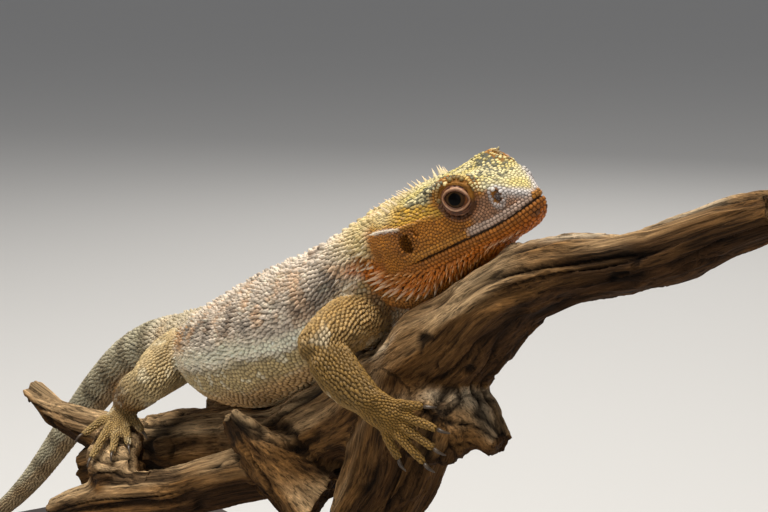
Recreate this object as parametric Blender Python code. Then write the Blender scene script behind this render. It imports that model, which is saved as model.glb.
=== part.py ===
"""A central bearded dragon resting along a cut length of driftwood on a museum stand, at life size.

The body is lofted through named stations in millimetres, from the snout to the tip of the tail, and parted
into head, jaw, neck, trunk, tail lengths and limb segments by flat joints. Each limb starts inside the
body and is cut back to its surface. The driftwood is a union of tapered limbs, hollowed where the animal
presses on it. The origin is the centre of the underside of the stand's base, +X runs towards the snout and
+Z is up.
"""

import math
from dataclasses import dataclass

import bmesh
import bpy
from mathutils import Matrix, Vector

MM = 0.001
GAP = 0.3  # clear space between neighbouring solids, in mm
REST_GAP = 0.5  # and under the body, where it lies on the wood
RIGHT, LEFT = -1, 1  # side of the body, as the sign of y

# Stand and placing of the animal over it (mm)
BASE_LENGTH, BASE_WIDTH, BASE_THICKNESS = 380.0, 150.0, 12.0
BASE_CORNER, BASE_EDGE = 28.0, 2.0
ROD_RADIUS, ROD_FOOT_RADIUS, ROD_FOOT_HEIGHT = 4.0, 9.0, 3.0
ROD_SOCKET_DEPTH = 9.0
HEAD_ORIGIN = Vector((120.0, 0.0, 182.0))  # centre of the plane through both ears

# Head: x forward from the ears, z up from the corner of the mouth (mm), then turned and placed
HEAD_LENGTH = 42.0
EAR_HEIGHT = 6.0
HEAD_YAW, HEAD_PITCH, HEAD_ROLL = (math.radians(a) for a in (6.8, 13.3, 19.0))
NECK_JOINT_X = -13.0
EYE_RADIUS = 5.2
EYE_CENTRE = Vector((21.7, 8.0, 12.4))  # left eye; the right one mirrors it
EAR_CENTRE, EAR_SIZE = Vector((3.6, 17.8, 4.8)), Vector((1.5, 2.2, 2.5))
MOUTH_CORNER_X = 5.0
MOUTH_RISE = 5.7  # from the corner to the tip of the snout
MOUTH_HOOK, MOUTH_HOOK_X = 1.6, 30.0  # extra rise of the last part
BODY_SIDES, TAIL_SIDES, LIMB_SIDES, DIGIT_SIDES = 24, 14, 12, 6

# Colours of the plain solids
COLOURS = {
    "hide_orange": ((0.42, 0.17, 0.04), 0.75),
    "hide_cream": ((0.50, 0.41, 0.26), 0.80),
    "hide_tan": ((0.36, 0.28, 0.17), 0.80),
    "eye": ((0.05, 0.03, 0.02), 0.15),
    "claw": ((0.10, 0.07, 0.05), 0.40),
    "driftwood": ((0.30, 0.20, 0.11), 0.85),
    "stand_board": ((0.045, 0.04, 0.036), 0.45),
    "stand_steel": ((0.35, 0.35, 0.36), 0.35),
}


def material(name):
    """The named Principled material, made on first use."""
    found = bpy.data.materials.get(name)
    if found:
        return found
    colour, roughness = COLOURS[name]
    made = bpy.data.materials.new(name)
    made.use_nodes = True
    shader = made.node_tree.nodes["Principled BSDF"]
    shader.inputs["Base Color"].default_value = (*colour, 1.0)
    shader.inputs["Roughness"].default_value = roughness
    shader.inputs["Metallic"].default_value = 1.0 if name == "stand_steel" else 0.0
    return made


# ---------------------------------------------------------------------------------------------- curves


def along(keys, x):
    """A smooth value at x through keys, a list of (x, value) with x rising; value may be a Vector."""
    if x <= keys[0][0]:
        return keys[0][1]
    if x >= keys[-1][0]:
        return keys[-1][1]
    i = max(k for k in range(len(keys) - 1) if keys[k][0] <= x)
    (x0, v0), (x1, v1) = keys[i], keys[i + 1]

    def slope(k):
        low, high = max(k - 1, 0), min(k + 1, len(keys) - 1)
        return (keys[high][1] - keys[low][1]) / (keys[high][0] - keys[low][0])

    t, span = (x - x0) / (x1 - x0), x1 - x0
    start, end = slope(i) * span, slope(i + 1) * span
    return (
        v0 * (2 * t**3 - 3 * t**2 + 1)
        + start * (t**3 - 2 * t**2 + t)
        + v1 * (3 * t**2 - 2 * t**3)
        + end * (t**3 - t**2)
    )


def bump(x, centre, width):
    """A smooth hill of height 1 at centre, about twice width across."""
    return math.exp(-(((x - centre) / width) ** 2))


def superellipse(angle, half_width, up, down, squareness):
    """(y, z) on a section whose corners fill out as squareness passes 2."""
    power = 2.0 / squareness
    c, s = math.cos(angle), math.sin(angle)
    y = half_width * math.copysign(abs(c) ** power, c)
    z = (up if s > 0 else down) * math.copysign(abs(s) ** power, s)
    return y, z


# ---------------------------------------------------------------------------------------------- meshes


def new_object(name, bm, colour, hidden=False):
    """The finished bmesh, in mm, as an object in metres; a hidden one is a cutter."""
    bmesh.ops.recalc_face_normals(bm, faces=bm.faces)
    bmesh.ops.scale(bm, vec=(MM, MM, MM), verts=bm.verts)
    mesh = bpy.data.meshes.new(name)
    bm.to_mesh(mesh)
    bm.free()
    mesh.shade_smooth()
    mesh.set_sharp_from_angle(angle=math.radians(50))
    mesh.materials.append(material(colour))
    made = bpy.data.objects.new(name, mesh)
    bpy.context.scene.collection.objects.link(made)
    if hidden:
        made.hide_render = True
        made.display_type = "WIRE"
    return made


def skin_over(bm, rings):
    """Joins rings of points, each with the same count, into one closed tube with flat ends."""
    loops = [[bm.verts.new(p) for p in ring] for ring in rings]
    for near, far in zip(loops, loops[1:]):
        for i in range(len(near)):
            bm.faces.new((near[i - 1], near[i], far[i], far[i - 1]))
    bm.faces.new(loops[0])
    bm.faces.new(loops[-1])
    return bm


def frame_at(tangent, up):
    """Columns forward, left and up for a ring that faces along tangent."""
    forward = tangent.normalized()
    left = up.cross(forward).normalized()
    return Matrix((forward, left, forward.cross(left))).transposed()


def cut(target, cutter, operation="DIFFERENCE"):
    """An exact Boolean of target with a hidden cutter object or a collection of them."""
    modifier = target.modifiers.new(operation.lower(), "BOOLEAN")
    modifier.operation = operation
    modifier.solver = "EXACT"
    if isinstance(cutter, bpy.types.Collection):
        modifier.operand_type = "COLLECTION"
        modifier.collection = cutter
    else:
        modifier.object = cutter


def ball(name, centre, radii, colour, segments=20, rings=12, turn=None, hidden=False):
    """An ellipsoid of the given radii about centre, turned by a rotation matrix."""
    bm = bmesh.new()
    bmesh.ops.create_uvsphere(bm, u_segments=segments, v_segments=rings, radius=1.0)
    place = Matrix.Translation(centre) @ (turn or Matrix()).to_4x4() @ Matrix.Diagonal((*radii, 1))
    bmesh.ops.transform(bm, matrix=place, verts=bm.verts)
    return new_object(name, bm, colour, hidden)


def gather(cutter, group):
    """Adds a hidden cutter to a named group, such as the driftwood's branches or the imprint in it."""
    found = bpy.data.collections.get(group)
    if found is None:
        found = bpy.data.collections.new(group)
        bpy.context.scene.collection.children.link(found)
    found.objects.link(cutter)


def press_into_wood(cutter):
    """Marks a hidden cutter as part of the imprint."""
    gather(cutter, "imprint")


# ---------------------------------------------------------------------------------------------- head

HEAD_TURN = (
    Matrix.Rotation(HEAD_YAW, 3, "Z")
    @ Matrix.Rotation(-HEAD_PITCH, 3, "Y")
    @ Matrix.Rotation(HEAD_ROLL, 3, "X")
)
HEAD_PLACE = (
    Matrix.Translation(HEAD_ORIGIN) @ HEAD_TURN.to_4x4() @ Matrix.Translation((0, 0, -EAR_HEIGHT))
)

# Half width, crown and throat of the head along its length
HEAD_WIDTH = [
    *((-13, 17.0), (-5, 19.0), (3, 18.5), (12, 15.8), (21, 12.6)),
    *((27, 10.8), (30, 9.6), (33.5, 8.3), (36.5, 6.3), (39, 4.2), (40.8, 2.6), (42, 1.2)),
]
HEAD_CROWN = [
    *((-13, 13.0), (-5, 15.2), (5, 16.4), (14, 16.4), (22, 16.0)),
    *((28, 15.4), (32, 14.5), (35, 13.2), (38, 11.3), (40.5, 8.9), (42, 6.4)),
]
HEAD_THROAT = [
    *((-13, -18.4), (-5, -17.0), (3, -14.2), (10, -11.0), (20, -6.8)),
    *((30, -3.6), (35, -2.5), (37.5, -1.3), (39.5, 0.2), (41, 1.8), (42, 3.6)),
]
HEAD_JOWL = [(-13, 3.0), (0, 2.8), (15, 2.3), (42, 2.1)]
HEAD_CROWN_SQUARENESS = [(-13, 2.5), (24, 2.5), (33, 3.2), (42, 3.0)]
HEAD_STATIONS = [-13, -9, -5, -1, 3, 7, 11, 15, 18, 21, 24, 27, 30, 33.5, 37, 39.2, 40.8, 41.7]
BROW_X, BROW_LENGTH, BROW_HEIGHT = 20.0, 9.8, 6.3
BROW_ANGLE, BROW_SPREAD = math.radians(57), math.radians(18)
AXIS_HEIGHT = 3.0  # of the line that the head's sections are measured from


def head_ring(x, grow=0.0):
    """One section of the head: a broad low oval with a dome over each eye and full jowls."""
    ring = []
    width, crown, throat = along(HEAD_WIDTH, x), along(HEAD_CROWN, x), along(HEAD_THROAT, x)
    for k in range(BODY_SIDES):
        angle = 2 * math.pi * (k + 0.5) / BODY_SIDES
        upper = math.sin(angle) > 0
        squareness = along(HEAD_CROWN_SQUARENESS if upper else HEAD_JOWL, x)
        y, z = superellipse(angle, width, crown - AXIS_HEIGHT, AXIS_HEIGHT - throat, squareness)
        side = min(abs(angle - BROW_ANGLE), abs(math.pi - angle - BROW_ANGLE))
        brow = BROW_HEIGHT * bump(x, BROW_X, BROW_LENGTH) * bump(side, 0, BROW_SPREAD)
        lengthen = 1 + (brow + grow) / math.hypot(y, z)
        ring.append(HEAD_PLACE @ Vector((x, y * lengthen, AXIS_HEIGHT + z * lengthen)))
    return ring


def mouth_height(x):
    """Height of the line where the lips meet."""
    straight = MOUTH_RISE * (x - MOUTH_CORNER_X) / (HEAD_LENGTH - MOUTH_CORNER_X) - 1.0
    return straight + MOUTH_HOOK * (max(x - MOUTH_HOOK_X, 0.0) / (HEAD_LENGTH - MOUTH_HOOK_X)) ** 1.5


def jaw_zone(name, grow):
    """A block that holds all of the head below the mouth line and in front of the throat's rear."""
    outline = [(x, mouth_height(x)) for x in (50.0, 42.0, 38.0, 34.0, MOUTH_HOOK_X, MOUTH_CORNER_X)]
    outline += [(-1, -2.5), (-7, -6), (-14.5, -9), (-14.5, -45), (50, -45)]
    bm = bmesh.new()
    far = [bm.verts.new((x, 45, z + (grow if z > -40 else 0))) for x, z in outline]
    side = bm.faces.new(far)
    moved = bmesh.ops.extrude_face_region(bm, geom=[side])["geom"]
    corners = [item for item in moved if isinstance(item, bmesh.types.BMVert)]
    bmesh.ops.translate(bm, vec=(0, -90, 0), verts=corners)
    bmesh.ops.transform(bm, matrix=HEAD_PLACE, verts=bm.verts)
    return new_object(name, bm, "hide_orange", hidden=True)


def build_head():
    """Head, jaw with the beard, and both eyes in their sockets."""
    stations = (HEAD_STATIONS[0] - 3, *HEAD_STATIONS)
    grown = skin_over(bmesh.new(), [head_ring(x, GAP) for x in stations])
    press_into_wood(new_object("cutter_head", grown, "hide_orange", hidden=True))
    whole = [head_ring(x) for x in HEAD_STATIONS]
    head = new_object("head", skin_over(bmesh.new(), whole), "hide_orange")
    jaw = new_object("jaw", skin_over(bmesh.new(), whole), "hide_orange")
    cut(head, jaw_zone("cutter_above_jaw", GAP))
    cut(jaw, jaw_zone("cutter_jaw", 0.0), "INTERSECT")
    for side, word in ((RIGHT, "right"), (LEFT, "left")):
        mirror = Vector((1, side, 1))
        centre = HEAD_PLACE @ (EYE_CENTRE * mirror)
        ball(f"eye_{word}", centre, (EYE_RADIUS,) * 3, "eye", 14, 8, HEAD_TURN)
        socket = (EYE_RADIUS + GAP,) * 3
        twist = HEAD_TURN @ Matrix.Rotation(0.13, 3, "Z") @ Matrix.Rotation(0.07, 3, "X")
        cut(head, ball(f"cutter_socket_{word}", centre, socket, "eye", 14, 8, twist, hidden=True))
        ear = HEAD_PLACE @ (EAR_CENTRE * mirror)
        cut(head, ball(f"cutter_ear_{word}", ear, EAR_SIZE, "eye", 12, 8, HEAD_TURN, hidden=True))


# ---------------------------------------------------------------------------------------------- body


@dataclass
class Station:
    """One section of neck, trunk or tail; place is from HEAD_ORIGIN, sizes in mm, roll in degrees."""

    place: tuple
    half_width: float
    up: float
    down: float
    roll: float = 0.0
    squareness: float = 2.0


TRUNK = [
    Station((-33.0, -10.5, -26.0), 19.5, 14.5, 18.5, 14.0),
    Station((-50.0, -8.0, -34.5), 24.0, 17.0, 20.5, 13.0, 2.1),
    Station((-71.0, -5.0, -44.5), 27.5, 19.0, 22.0, 12.0, 2.2),
    Station((-91.0, -2.5, -52.5), 28.0, 18.5, 21.5, 11.0, 2.2),
    Station((-109.0, -1.0, -57.5), 25.0, 16.8, 18.5, 9.0, 2.1),
    Station((-125.0, 0.0, -61.0), 18.5, 14.2, 14.5, 7.0),
    Station((-139.0, 0.0, -63.5), 14.5, 12.4, 12.5, 5.0),
    Station((-153.0, -0.5, -66.0), 12.0, 11.0, 10.0, 3.0),
]
TAIL = [
    [
        Station((-153.0, -0.5, -66.0), 12.0, 11.0, 10.0, 3.0),
        Station((-170.0, -2.0, -69.5), 10.2, 9.6, 9.0),
        Station((-189.0, -4.0, -77.5), 8.6, 8.0, 7.8),
    ],
    [
        Station((-189.0, -4.0, -77.5), 8.6, 8.0, 7.8),
        Station((-206.5, -6.5, -90.0), 7.4, 7.0, 6.8),
        Station((-223.5, -9.5, -105.5), 6.3, 6.1, 5.9),
        Station((-238.0, -13.0, -121.0), 5.4, 5.3, 5.1),
    ],
    [
        Station((-238.0, -13.0, -121.0), 5.4, 5.3, 5.1),
        Station((-251.0, -18.5, -137.0), 4.5, 4.4, 4.3),
        Station((-264.5, -25.0, -151.0), 3.6, 3.5, 3.4),
        Station((-279.5, -32.0, -161.5), 2.9, 2.8, 2.8),
    ],
    [
        Station((-279.5, -32.0, -161.5), 2.9, 2.8, 2.8),
        Station((-297.0, -38.5, -166.6), 2.2, 2.1, 2.1),
        Station((-315.0, -43.0, -167.6), 1.5, 1.5, 1.5),
        Station((-332.0, -44.5, -167.0), 0.8, 0.8, 0.8),
    ],
]
RING_STEP = {"trunk": 8.5, "tail": 9.0}
NECK_RINGS = 5
NECK_WAIST = 0.04
THROAT_FOLD = 0.20  # how far the neck draws in behind the throat's pouch, as a share of its radius


def body_spine():
    """Keys of distance from the shoulders back: places, sizes, rolls and squarenesses."""
    stations = TRUNK + [s for length in TAIL for s in length[1:]]
    places, distance = [], 0.0
    for i, s in enumerate(stations):
        if i:
            distance += (Vector(s.place) - Vector(stations[i - 1].place)).length
        places.append((distance, HEAD_ORIGIN + Vector(s.place)))
    sizes = [(d, Vector((s.half_width, s.up, s.down))) for (d, _), s in zip(places, stations)]
    rolls = [(d, s.roll) for (d, _), s in zip(places, stations)]
    squares = [(d, s.squareness) for (d, _), s in zip(places, stations)]
    return places, sizes, rolls, squares


PLACES, SIZES, ROLLS, SQUARES = body_spine()


def spine_distance(place):
    """Distance along the spine of the station at this place."""
    target = HEAD_ORIGIN + Vector(place)
    return min(PLACES, key=lambda key: (key[1] - target).length)[0]


def body_turn(distance):
    """Columns forward, left and up of the body at this distance behind the shoulders."""
    tangent = along(PLACES, distance - 2.0) - along(PLACES, distance + 2.0)
    roll = Matrix.Rotation(math.radians(along(ROLLS, distance)), 3, "X")
    return frame_at(tangent, Vector((0, 0, 1))) @ roll


def body_ring(distance, sides, grow=0.0):
    """One section of the body at this distance behind the shoulders."""
    centre, turn = along(PLACES, distance), body_turn(distance)
    half_width, up, down = along(SIZES, distance)
    ring = []
    for k in range(sides):
        angle = 2 * math.pi * (k + 0.5) / sides
        y, z = superellipse(angle, half_width, up, down, along(SQUARES, distance))
        lengthen = 1 + grow / math.hypot(y, z)
        ring.append(centre + turn @ Vector((0, y * lengthen, z * lengthen)))
    return ring


def body_length(name, start, end, step, sides, colour, grow=0.0, hidden=False):
    """The body from one distance to another, short of each by half the gap."""
    start, end = start + GAP / 2, end - GAP / 2
    count = max(2, round((end - start) / step))
    stops = [start + (end - start) * i / count for i in range(count + 1)]
    rings = [body_ring(d, sides, grow) for d in stops]
    return new_object(name, skin_over(bmesh.new(), rings), colour, hidden)


def build_neck(name, grow=0.0, hidden=False):
    """The neck, bending from the back of the head to the shoulders."""
    head = head_ring(NECK_JOINT_X - GAP, grow)
    forward = body_turn(0.0).col[0]
    chest = [point + forward * GAP / 2 for point in body_ring(0.0, BODY_SIDES, grow)]
    near, far = sum(head, Vector()) / BODY_SIDES, sum(chest, Vector()) / BODY_SIDES
    away, onward = -HEAD_TURN.col[0], -forward
    reach = (far - near).length
    rings = []
    for i in range(NECK_RINGS + 1):
        t = i / NECK_RINGS
        bow = away * reach * 0.55 * t * (1 - t) ** 2 - onward * reach * 0.55 * t**2 * (1 - t)
        swell = 1 - NECK_WAIST * 4 * t * (1 - t)
        fold = THROAT_FOLD * bump(t, 0.3, 0.2) if i else 0.0
        middle = near.lerp(far, t * t * (3 - 2 * t) * 0.5 + t * 0.5) + bow
        ring = []
        for k, (a, b) in enumerate(zip(head, chest)):
            under = max(0.0, -math.sin(2 * math.pi * (k + 0.5) / BODY_SIDES))
            ring.append(middle + ((a - near).lerp(b - far, t)) * (swell - fold * under))
        rings.append(ring)
    if grow:
        rings.append([point - forward for point in chest])
    return new_object(name, skin_over(bmesh.new(), rings), "hide_cream", hidden)


def build_body():
    """Neck, trunk and the four lengths of the tail."""
    chest = spine_distance(TRUNK[0].place)
    vent = spine_distance(TRUNK[-1].place)
    build_neck("neck")
    body_length("trunk", chest, vent, RING_STEP["trunk"], BODY_SIDES, "hide_tan")
    for number, stations in enumerate(TAIL, 1):
        start, end = spine_distance(stations[0].place), spine_distance(stations[-1].place)
        body_length(f"tail_{number}", start, end, RING_STEP["tail"], TAIL_SIDES, "hide_tan")


# ---------------------------------------------------------------------------------------------- limbs


@dataclass
class Joint:
    """A section of a limb; place is from HEAD_ORIGIN for the right side, sizes are radii in mm."""

    place: tuple
    wide: float
    deep: float


FORELIMBS = {
    RIGHT: [
        Joint((-20.5, -9.5, -32.0), 8.2, 8.0),
        Joint((-13.0, -22.5, -31.4), 8.2, 7.8),
        Joint((-9.2, -33.0, -34.8), 6.6, 6.4),
        Joint((-1.0, -30.5, -43.5), 7.0, 6.4),
        Joint((6.1, -26.8, -48.9), 5.7, 4.6),
    ],
    LEFT: [
        Joint((-31.0, 2.0, -21.0), 8.0, 8.0),
        Joint((-37.5, 17.0, -27.0), 8.0, 7.4),
        Joint((-43.0, 28.5, -34.5), 6.6, 6.4),
        Joint((-37.0, 27.5, -43.0), 6.8, 6.2),
        Joint((-29.5, 24.0, -51.0), 5.5, 4.5),
    ],
}
HINDLIMBS = {
    RIGHT: [
        Joint((-138.0, -5.0, -63.5), 9.5, 9.0),
        Joint((-129.5, -19.0, -66.0), 9.2, 8.4),
        Joint((-123.0, -29.5, -69.5), 7.0, 6.8),
        Joint((-136.5, -29.5, -77.0), 6.6, 6.0),
        Joint((-143.0, -28.5, -80.5), 4.8, 4.4),
    ],
    LEFT: [
        Joint((-138.0, 5.0, -61.5), 9.5, 9.0),
        Joint((-131.0, 19.0, -61.5), 9.2, 8.4),
        Joint((-125.0, 29.5, -65.0), 7.0, 6.8),
        Joint((-139.0, 25.5, -73.0), 6.6, 6.0),
        Joint((-147.0, 20.0, -80.0), 4.8, 4.4),
    ],
}

# Each digit: the angle it fans out from the heading, in degrees, its length in mm, and where its root
# lies across the palm, in half widths
FINGERS = [(30, 7.0, 0.80), (14, 11.0, 0.48), (0, 12.5, 0.04), (-13, 12.5, -0.40), (-34, 8.5, -0.78)]
TOES = [(40, 8.0, 0.80), (22, 11.5, 0.44), (8, 15.0, 0.05), (-6, 18.5, -0.36), (-36, 11.0, -0.78)]


@dataclass
class Extremity:
    """A hand or foot: its heading, the outward normal of what it rests on, and its sizes in mm."""

    node: str
    heading: tuple
    normal: tuple
    palm: tuple
    digit_radius: float
    digits: list


HAND_PALM, FOOT_PALM = (8.5, 5.6, 2.6), (12.0, 5.2, 2.7)
HANDS = {
    RIGHT: Extremity("hand", (0.80, 0.30, -0.45), (0.35, -0.85, 0.06), HAND_PALM, 1.45, FINGERS),
    LEFT: Extremity("hand", (0.80, -0.25, -0.50), (0.30, 0.90, 0.05), HAND_PALM, 1.45, FINGERS),
}
FEET = {
    RIGHT: Extremity("foot", (0.67, -0.66, -0.38), (0.25, -0.27, 0.93), FOOT_PALM, 1.55, TOES),
    LEFT: Extremity("foot", (0.85, 0.10, -0.50), (0.30, 0.85, 0.60), FOOT_PALM, 1.55, TOES),
}


KNEE, SEGMENT_RINGS = 2, 4
ROUND_END = ((0.45, 0.89), (0.85, 0.53))  # ahead and radius of the rings that round a knee, in radii


def limb_rings(joints, grow=0.0, rounded=False):
    """The sections of one limb segment; the one after a rounded end starts inside it."""
    keys, distance = [], 0.0
    for i, joint in enumerate(joints):
        point = HEAD_ORIGIN + Vector(joint.place)
        if i:
            distance += (point - keys[-1][1]).length
        keys.append((distance, point))
    spans = [(d, Vector((j.wide, j.deep, 0))) for (d, _), j in zip(keys, joints)]
    count = SEGMENT_RINGS if len(joints) < 4 else SEGMENT_RINGS + 1
    stops = [(distance * i / count, 0.0, 1.0) for i in range(count + 1)]
    if rounded:
        stops += [(distance, *share) for share in ROUND_END]
    else:
        stops[0] = (0.0, 0.0, 0.7)
    rings = []
    for stop, ahead, share in stops:
        tangent = (along(keys, stop + 1.0) - along(keys, stop - 1.0)).normalized()
        turn = frame_at(tangent, Vector((0.3, joints[-1].place[1] / 30, 0.6)))
        wide, deep, _ = along(spans, stop)
        centre = along(keys, stop) + tangent * ahead * (deep + grow)
        ring = []
        for k in range(LIMB_SIDES):
            angle = 2 * math.pi * k / LIMB_SIDES
            y = (deep * share + grow) * math.cos(angle)
            z = (wide * share + grow) * math.sin(angle)
            ring.append(centre + turn @ Vector((0, y, z)))
        rings.append(ring)
    return rings


def build_limb(names, joints, rounded):
    """Upper and lower segments of a limb, the upper one from the body to a rounded elbow or knee.

    A rounded lower segment ends in an ankle. Gives the last section, and the lower segment grown by the gap.
    """
    upper, lower = joints[: KNEE + 1], joints[KNEE:]
    first = new_object(names[0], skin_over(bmesh.new(), limb_rings(upper, rounded=True)), "hide_tan")
    cut(first, bpy.data.collections["envelope"])
    knee = skin_over(bmesh.new(), limb_rings(upper, GAP, rounded=True))
    knee = new_object(f"cutter_{names[0]}", knee, "hide_tan", hidden=True)
    press_into_wood(knee)
    rings = limb_rings(lower, rounded=rounded)
    rings[0] = limb_rings(lower)[0]
    away = (sum(rings[-2], Vector()) - sum(rings[-1], Vector())).normalized() * GAP
    rest = skin_over(bmesh.new(), [*rings[:-1], [point + away for point in rings[-1]]])
    second = new_object(names[1], rest, "hide_tan")
    cut(second, knee)
    cut(second, bpy.data.collections["envelope"])
    grown = skin_over(bmesh.new(), limb_rings(lower, GAP, rounded))
    shin = new_object(f"cutter_{names[1]}", grown, "hide_tan", hidden=True)
    press_into_wood(shin)
    return [point - away * 0.5 for point in rings[-1]], shin


def tube(bm, points, radii, sides, up):
    """A closed tapered tube through points."""
    rings = []
    for i, (point, radius) in enumerate(zip(points, radii)):
        tangent = points[min(i + 1, len(points) - 1)] - points[max(i - 1, 0)]
        turn = frame_at(tangent, up)
        angles = [2 * math.pi * (k + 0.5) / sides for k in range(sides)]
        arms = [Vector((0, math.cos(a), math.sin(a))) * radius for a in angles]
        rings.append([point + turn @ arm for arm in arms])
    return skin_over(bm, rings)


# Share of the palm's length, share of its width, and its underside and back in thicknesses
TOE_ROOT = ((0.8, 1.0, 0.0, 1.8), (1.0, 0.86, 0.0, 1.4))
PALM_PROFILE = ((0.15, 0.90, 0.1, 2.7), (0.45, 0.92, 0.0, 2.2), *TOE_ROOT)
ANKLE_PROFILE = ((-0.1, 0.55, 0.5, 1.9), (0.25, 0.82, 0.05, 2.2), *TOE_ROOT)


def digit_path(length, radius):
    """(forward, up) along a digit lying on a surface: a low knuckle, then down to the tip."""
    steps = [(-0.10, 1.35), (0.22, 1.75), (0.52, 1.55), (0.80, 1.15), (1.0, 1.0)]
    return [(f * length, u * radius) for f, u in steps]


CLAW_LENGTH, CLAW_RADIUS = 3.8, 0.80
BURR_TWIST = math.radians(11)
CLAW_CURVE = [(0.0, 0.0), (0.5, 0.08), (1.0, -0.34)]  # forward and up, in claw lengths


def build_extremity(shape, side, word, wrist_ring, shin, ankle):
    """Palm and digits as one solid, the claws, and the burr of wood with the flat that they rest on.

    A hand goes on from the forearm's last section; a foot starts inside the ankle and is cut back to it.
    """
    normal, heading = Vector(shape.normal).normalized(), Vector(shape.heading).normalized()
    across = normal.cross(heading).normalized()
    heading = across.cross(normal).normalized()
    long, wide, thick = shape.palm
    folded = shape.node == "foot"
    wrist = ankle if folded else sum(wrist_ring, Vector()) / LIMB_SIDES
    floor = wrist - normal * (thick + 1.2) + heading * (0.0 if folded else 2.2)

    def spot(forward, sideways, up):
        return floor + heading * forward + across * sideways + normal * up

    def bearing(point):
        offset = point - wrist
        return math.atan2(offset.dot(normal), offset.dot(across))

    palm = bmesh.new()
    first = min(range(LIMB_SIDES), key=lambda k: abs(bearing(wrist_ring[k])))
    ahead = bearing(wrist_ring[(first + 2) % LIMB_SIDES]) > 0
    order = [(first + k * (1 if ahead else -1)) % LIMB_SIDES for k in range(LIMB_SIDES)]
    rings = [] if folded else [[wrist_ring[k] for k in order]]
    for share, width, low, high in (ANKLE_PROFILE if folded else PALM_PROFILE):
        ring = []
        for k in range(LIMB_SIDES):
            angle = 2 * math.pi * k / LIMB_SIDES
            y = wide * width * math.cos(angle)
            z = thick * ((high + low) / 2 + (high - low) / 2 * math.sin(angle))
            ring.append(spot(share * long, y, z))
        rings.append(ring)
    hand = new_object(f"{shape.node}_{word}", skin_over(palm, rings), "hide_tan")
    for number, (fan, length, root) in enumerate(shape.digits, 1):
        turn = math.radians(fan) * -side
        start_x = long * (0.62 if number in (1, 5) else 0.86)
        start_y = -side * root * wide
        path = digit_path(length, shape.digit_radius)
        cos, sin = math.cos(turn), math.sin(turn)
        points = [spot(start_x + f * cos, start_y + f * sin, u) for f, u in path]
        radii = [shape.digit_radius * r for r in (1.0, 1.05, 0.92, 0.86, 0.66)]
        digit = bmesh.new()
        tube(digit, points, radii, DIGIT_SIDES, normal)
        digit = new_object(f"cutter_{shape.node}_{word}_{number}", digit, "hide_tan", hidden=True)
        gather(digit, f"{shape.node}_{word}_digits")
        out = (points[-1] - points[-2]).normalized()
        level = (out - normal * out.dot(normal)).normalized()
        claw = bmesh.new()
        start = points[-1] + out * GAP
        curve = [start + (level * f + normal * u) * CLAW_LENGTH for f, u in CLAW_CURVE]
        tube(claw, curve, [CLAW_RADIUS, CLAW_RADIUS * 0.8, 0.26], 5, normal)
        new_object(f"claw_{shape.node}_{word}_{number}", claw, "claw")
    cut(hand, bpy.data.collections[f"{shape.node}_{word}_digits"], "UNION")
    if folded:
        cut(hand, shin)
    reach = long + max(length for _, length, _ in shape.digits) + CLAW_LENGTH
    turn = Matrix((heading, across, normal)).transposed()
    worn = bmesh.new()
    bmesh.ops.create_cube(worn, size=1.0)
    bmesh.ops.scale(worn, vec=(reach + 12.0, 32.0, 26.0), verts=worn.verts)
    place = Matrix.Translation(spot(reach / 2 - 1.0, 0.0, 13.0 - GAP)) @ turn.to_4x4()
    bmesh.ops.transform(worn, matrix=place, verts=worn.verts)
    press_into_wood(new_object(f"cutter_rest_{shape.node}_{word}", worn, "driftwood", hidden=True))
    name, centre = f"cutter_burr_{shape.node}_{word}", spot(reach * 0.52, 0.0, -7.5)
    twist = turn @ Matrix.Rotation(BURR_TWIST, 3, "Z") @ Matrix.Rotation(BURR_TWIST / 2, 3, "X")
    size = (reach * 0.56, 11.5, 11.0)
    gather(ball(name, centre, size, "driftwood", 12, 7, twist, hidden=True), "branches")


def build_limbs():
    """Both forelimbs and both hind limbs, cut back to the body."""
    vent = spine_distance(TAIL[0][1].place)
    step = RING_STEP["trunk"] - 0.5
    body = body_length("cutter_body", 0.0, vent, step, BODY_SIDES, "hide_tan", GAP, hidden=True)
    gather(body, "envelope")
    gather(build_neck("cutter_neck", 3 * GAP, hidden=True), "envelope")
    for side, word in ((RIGHT, "right"), (LEFT, "left")):
        for names, joints, shape in (
            (("upper_arm", "forearm"), FORELIMBS[side], HANDS[side]),
            (("thigh", "shin"), HINDLIMBS[side], FEET[side]),
        ):
            rounded = shape.node == "foot"
            ring, shin = build_limb([f"{n}_{word}" for n in names], joints, rounded)
            build_extremity(shape, side, word, ring, shin, HEAD_ORIGIN + Vector(joints[-1].place))
    lying = "cutter_lying_body"
    body = body_length(lying, 0.0, vent, step, BODY_SIDES, "hide_tan", REST_GAP, hidden=True)
    press_into_wood(body)
    press_into_wood(build_neck("cutter_lying_neck", REST_GAP, hidden=True))


# ---------------------------------------------------------------------------------------------- driftwood

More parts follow.
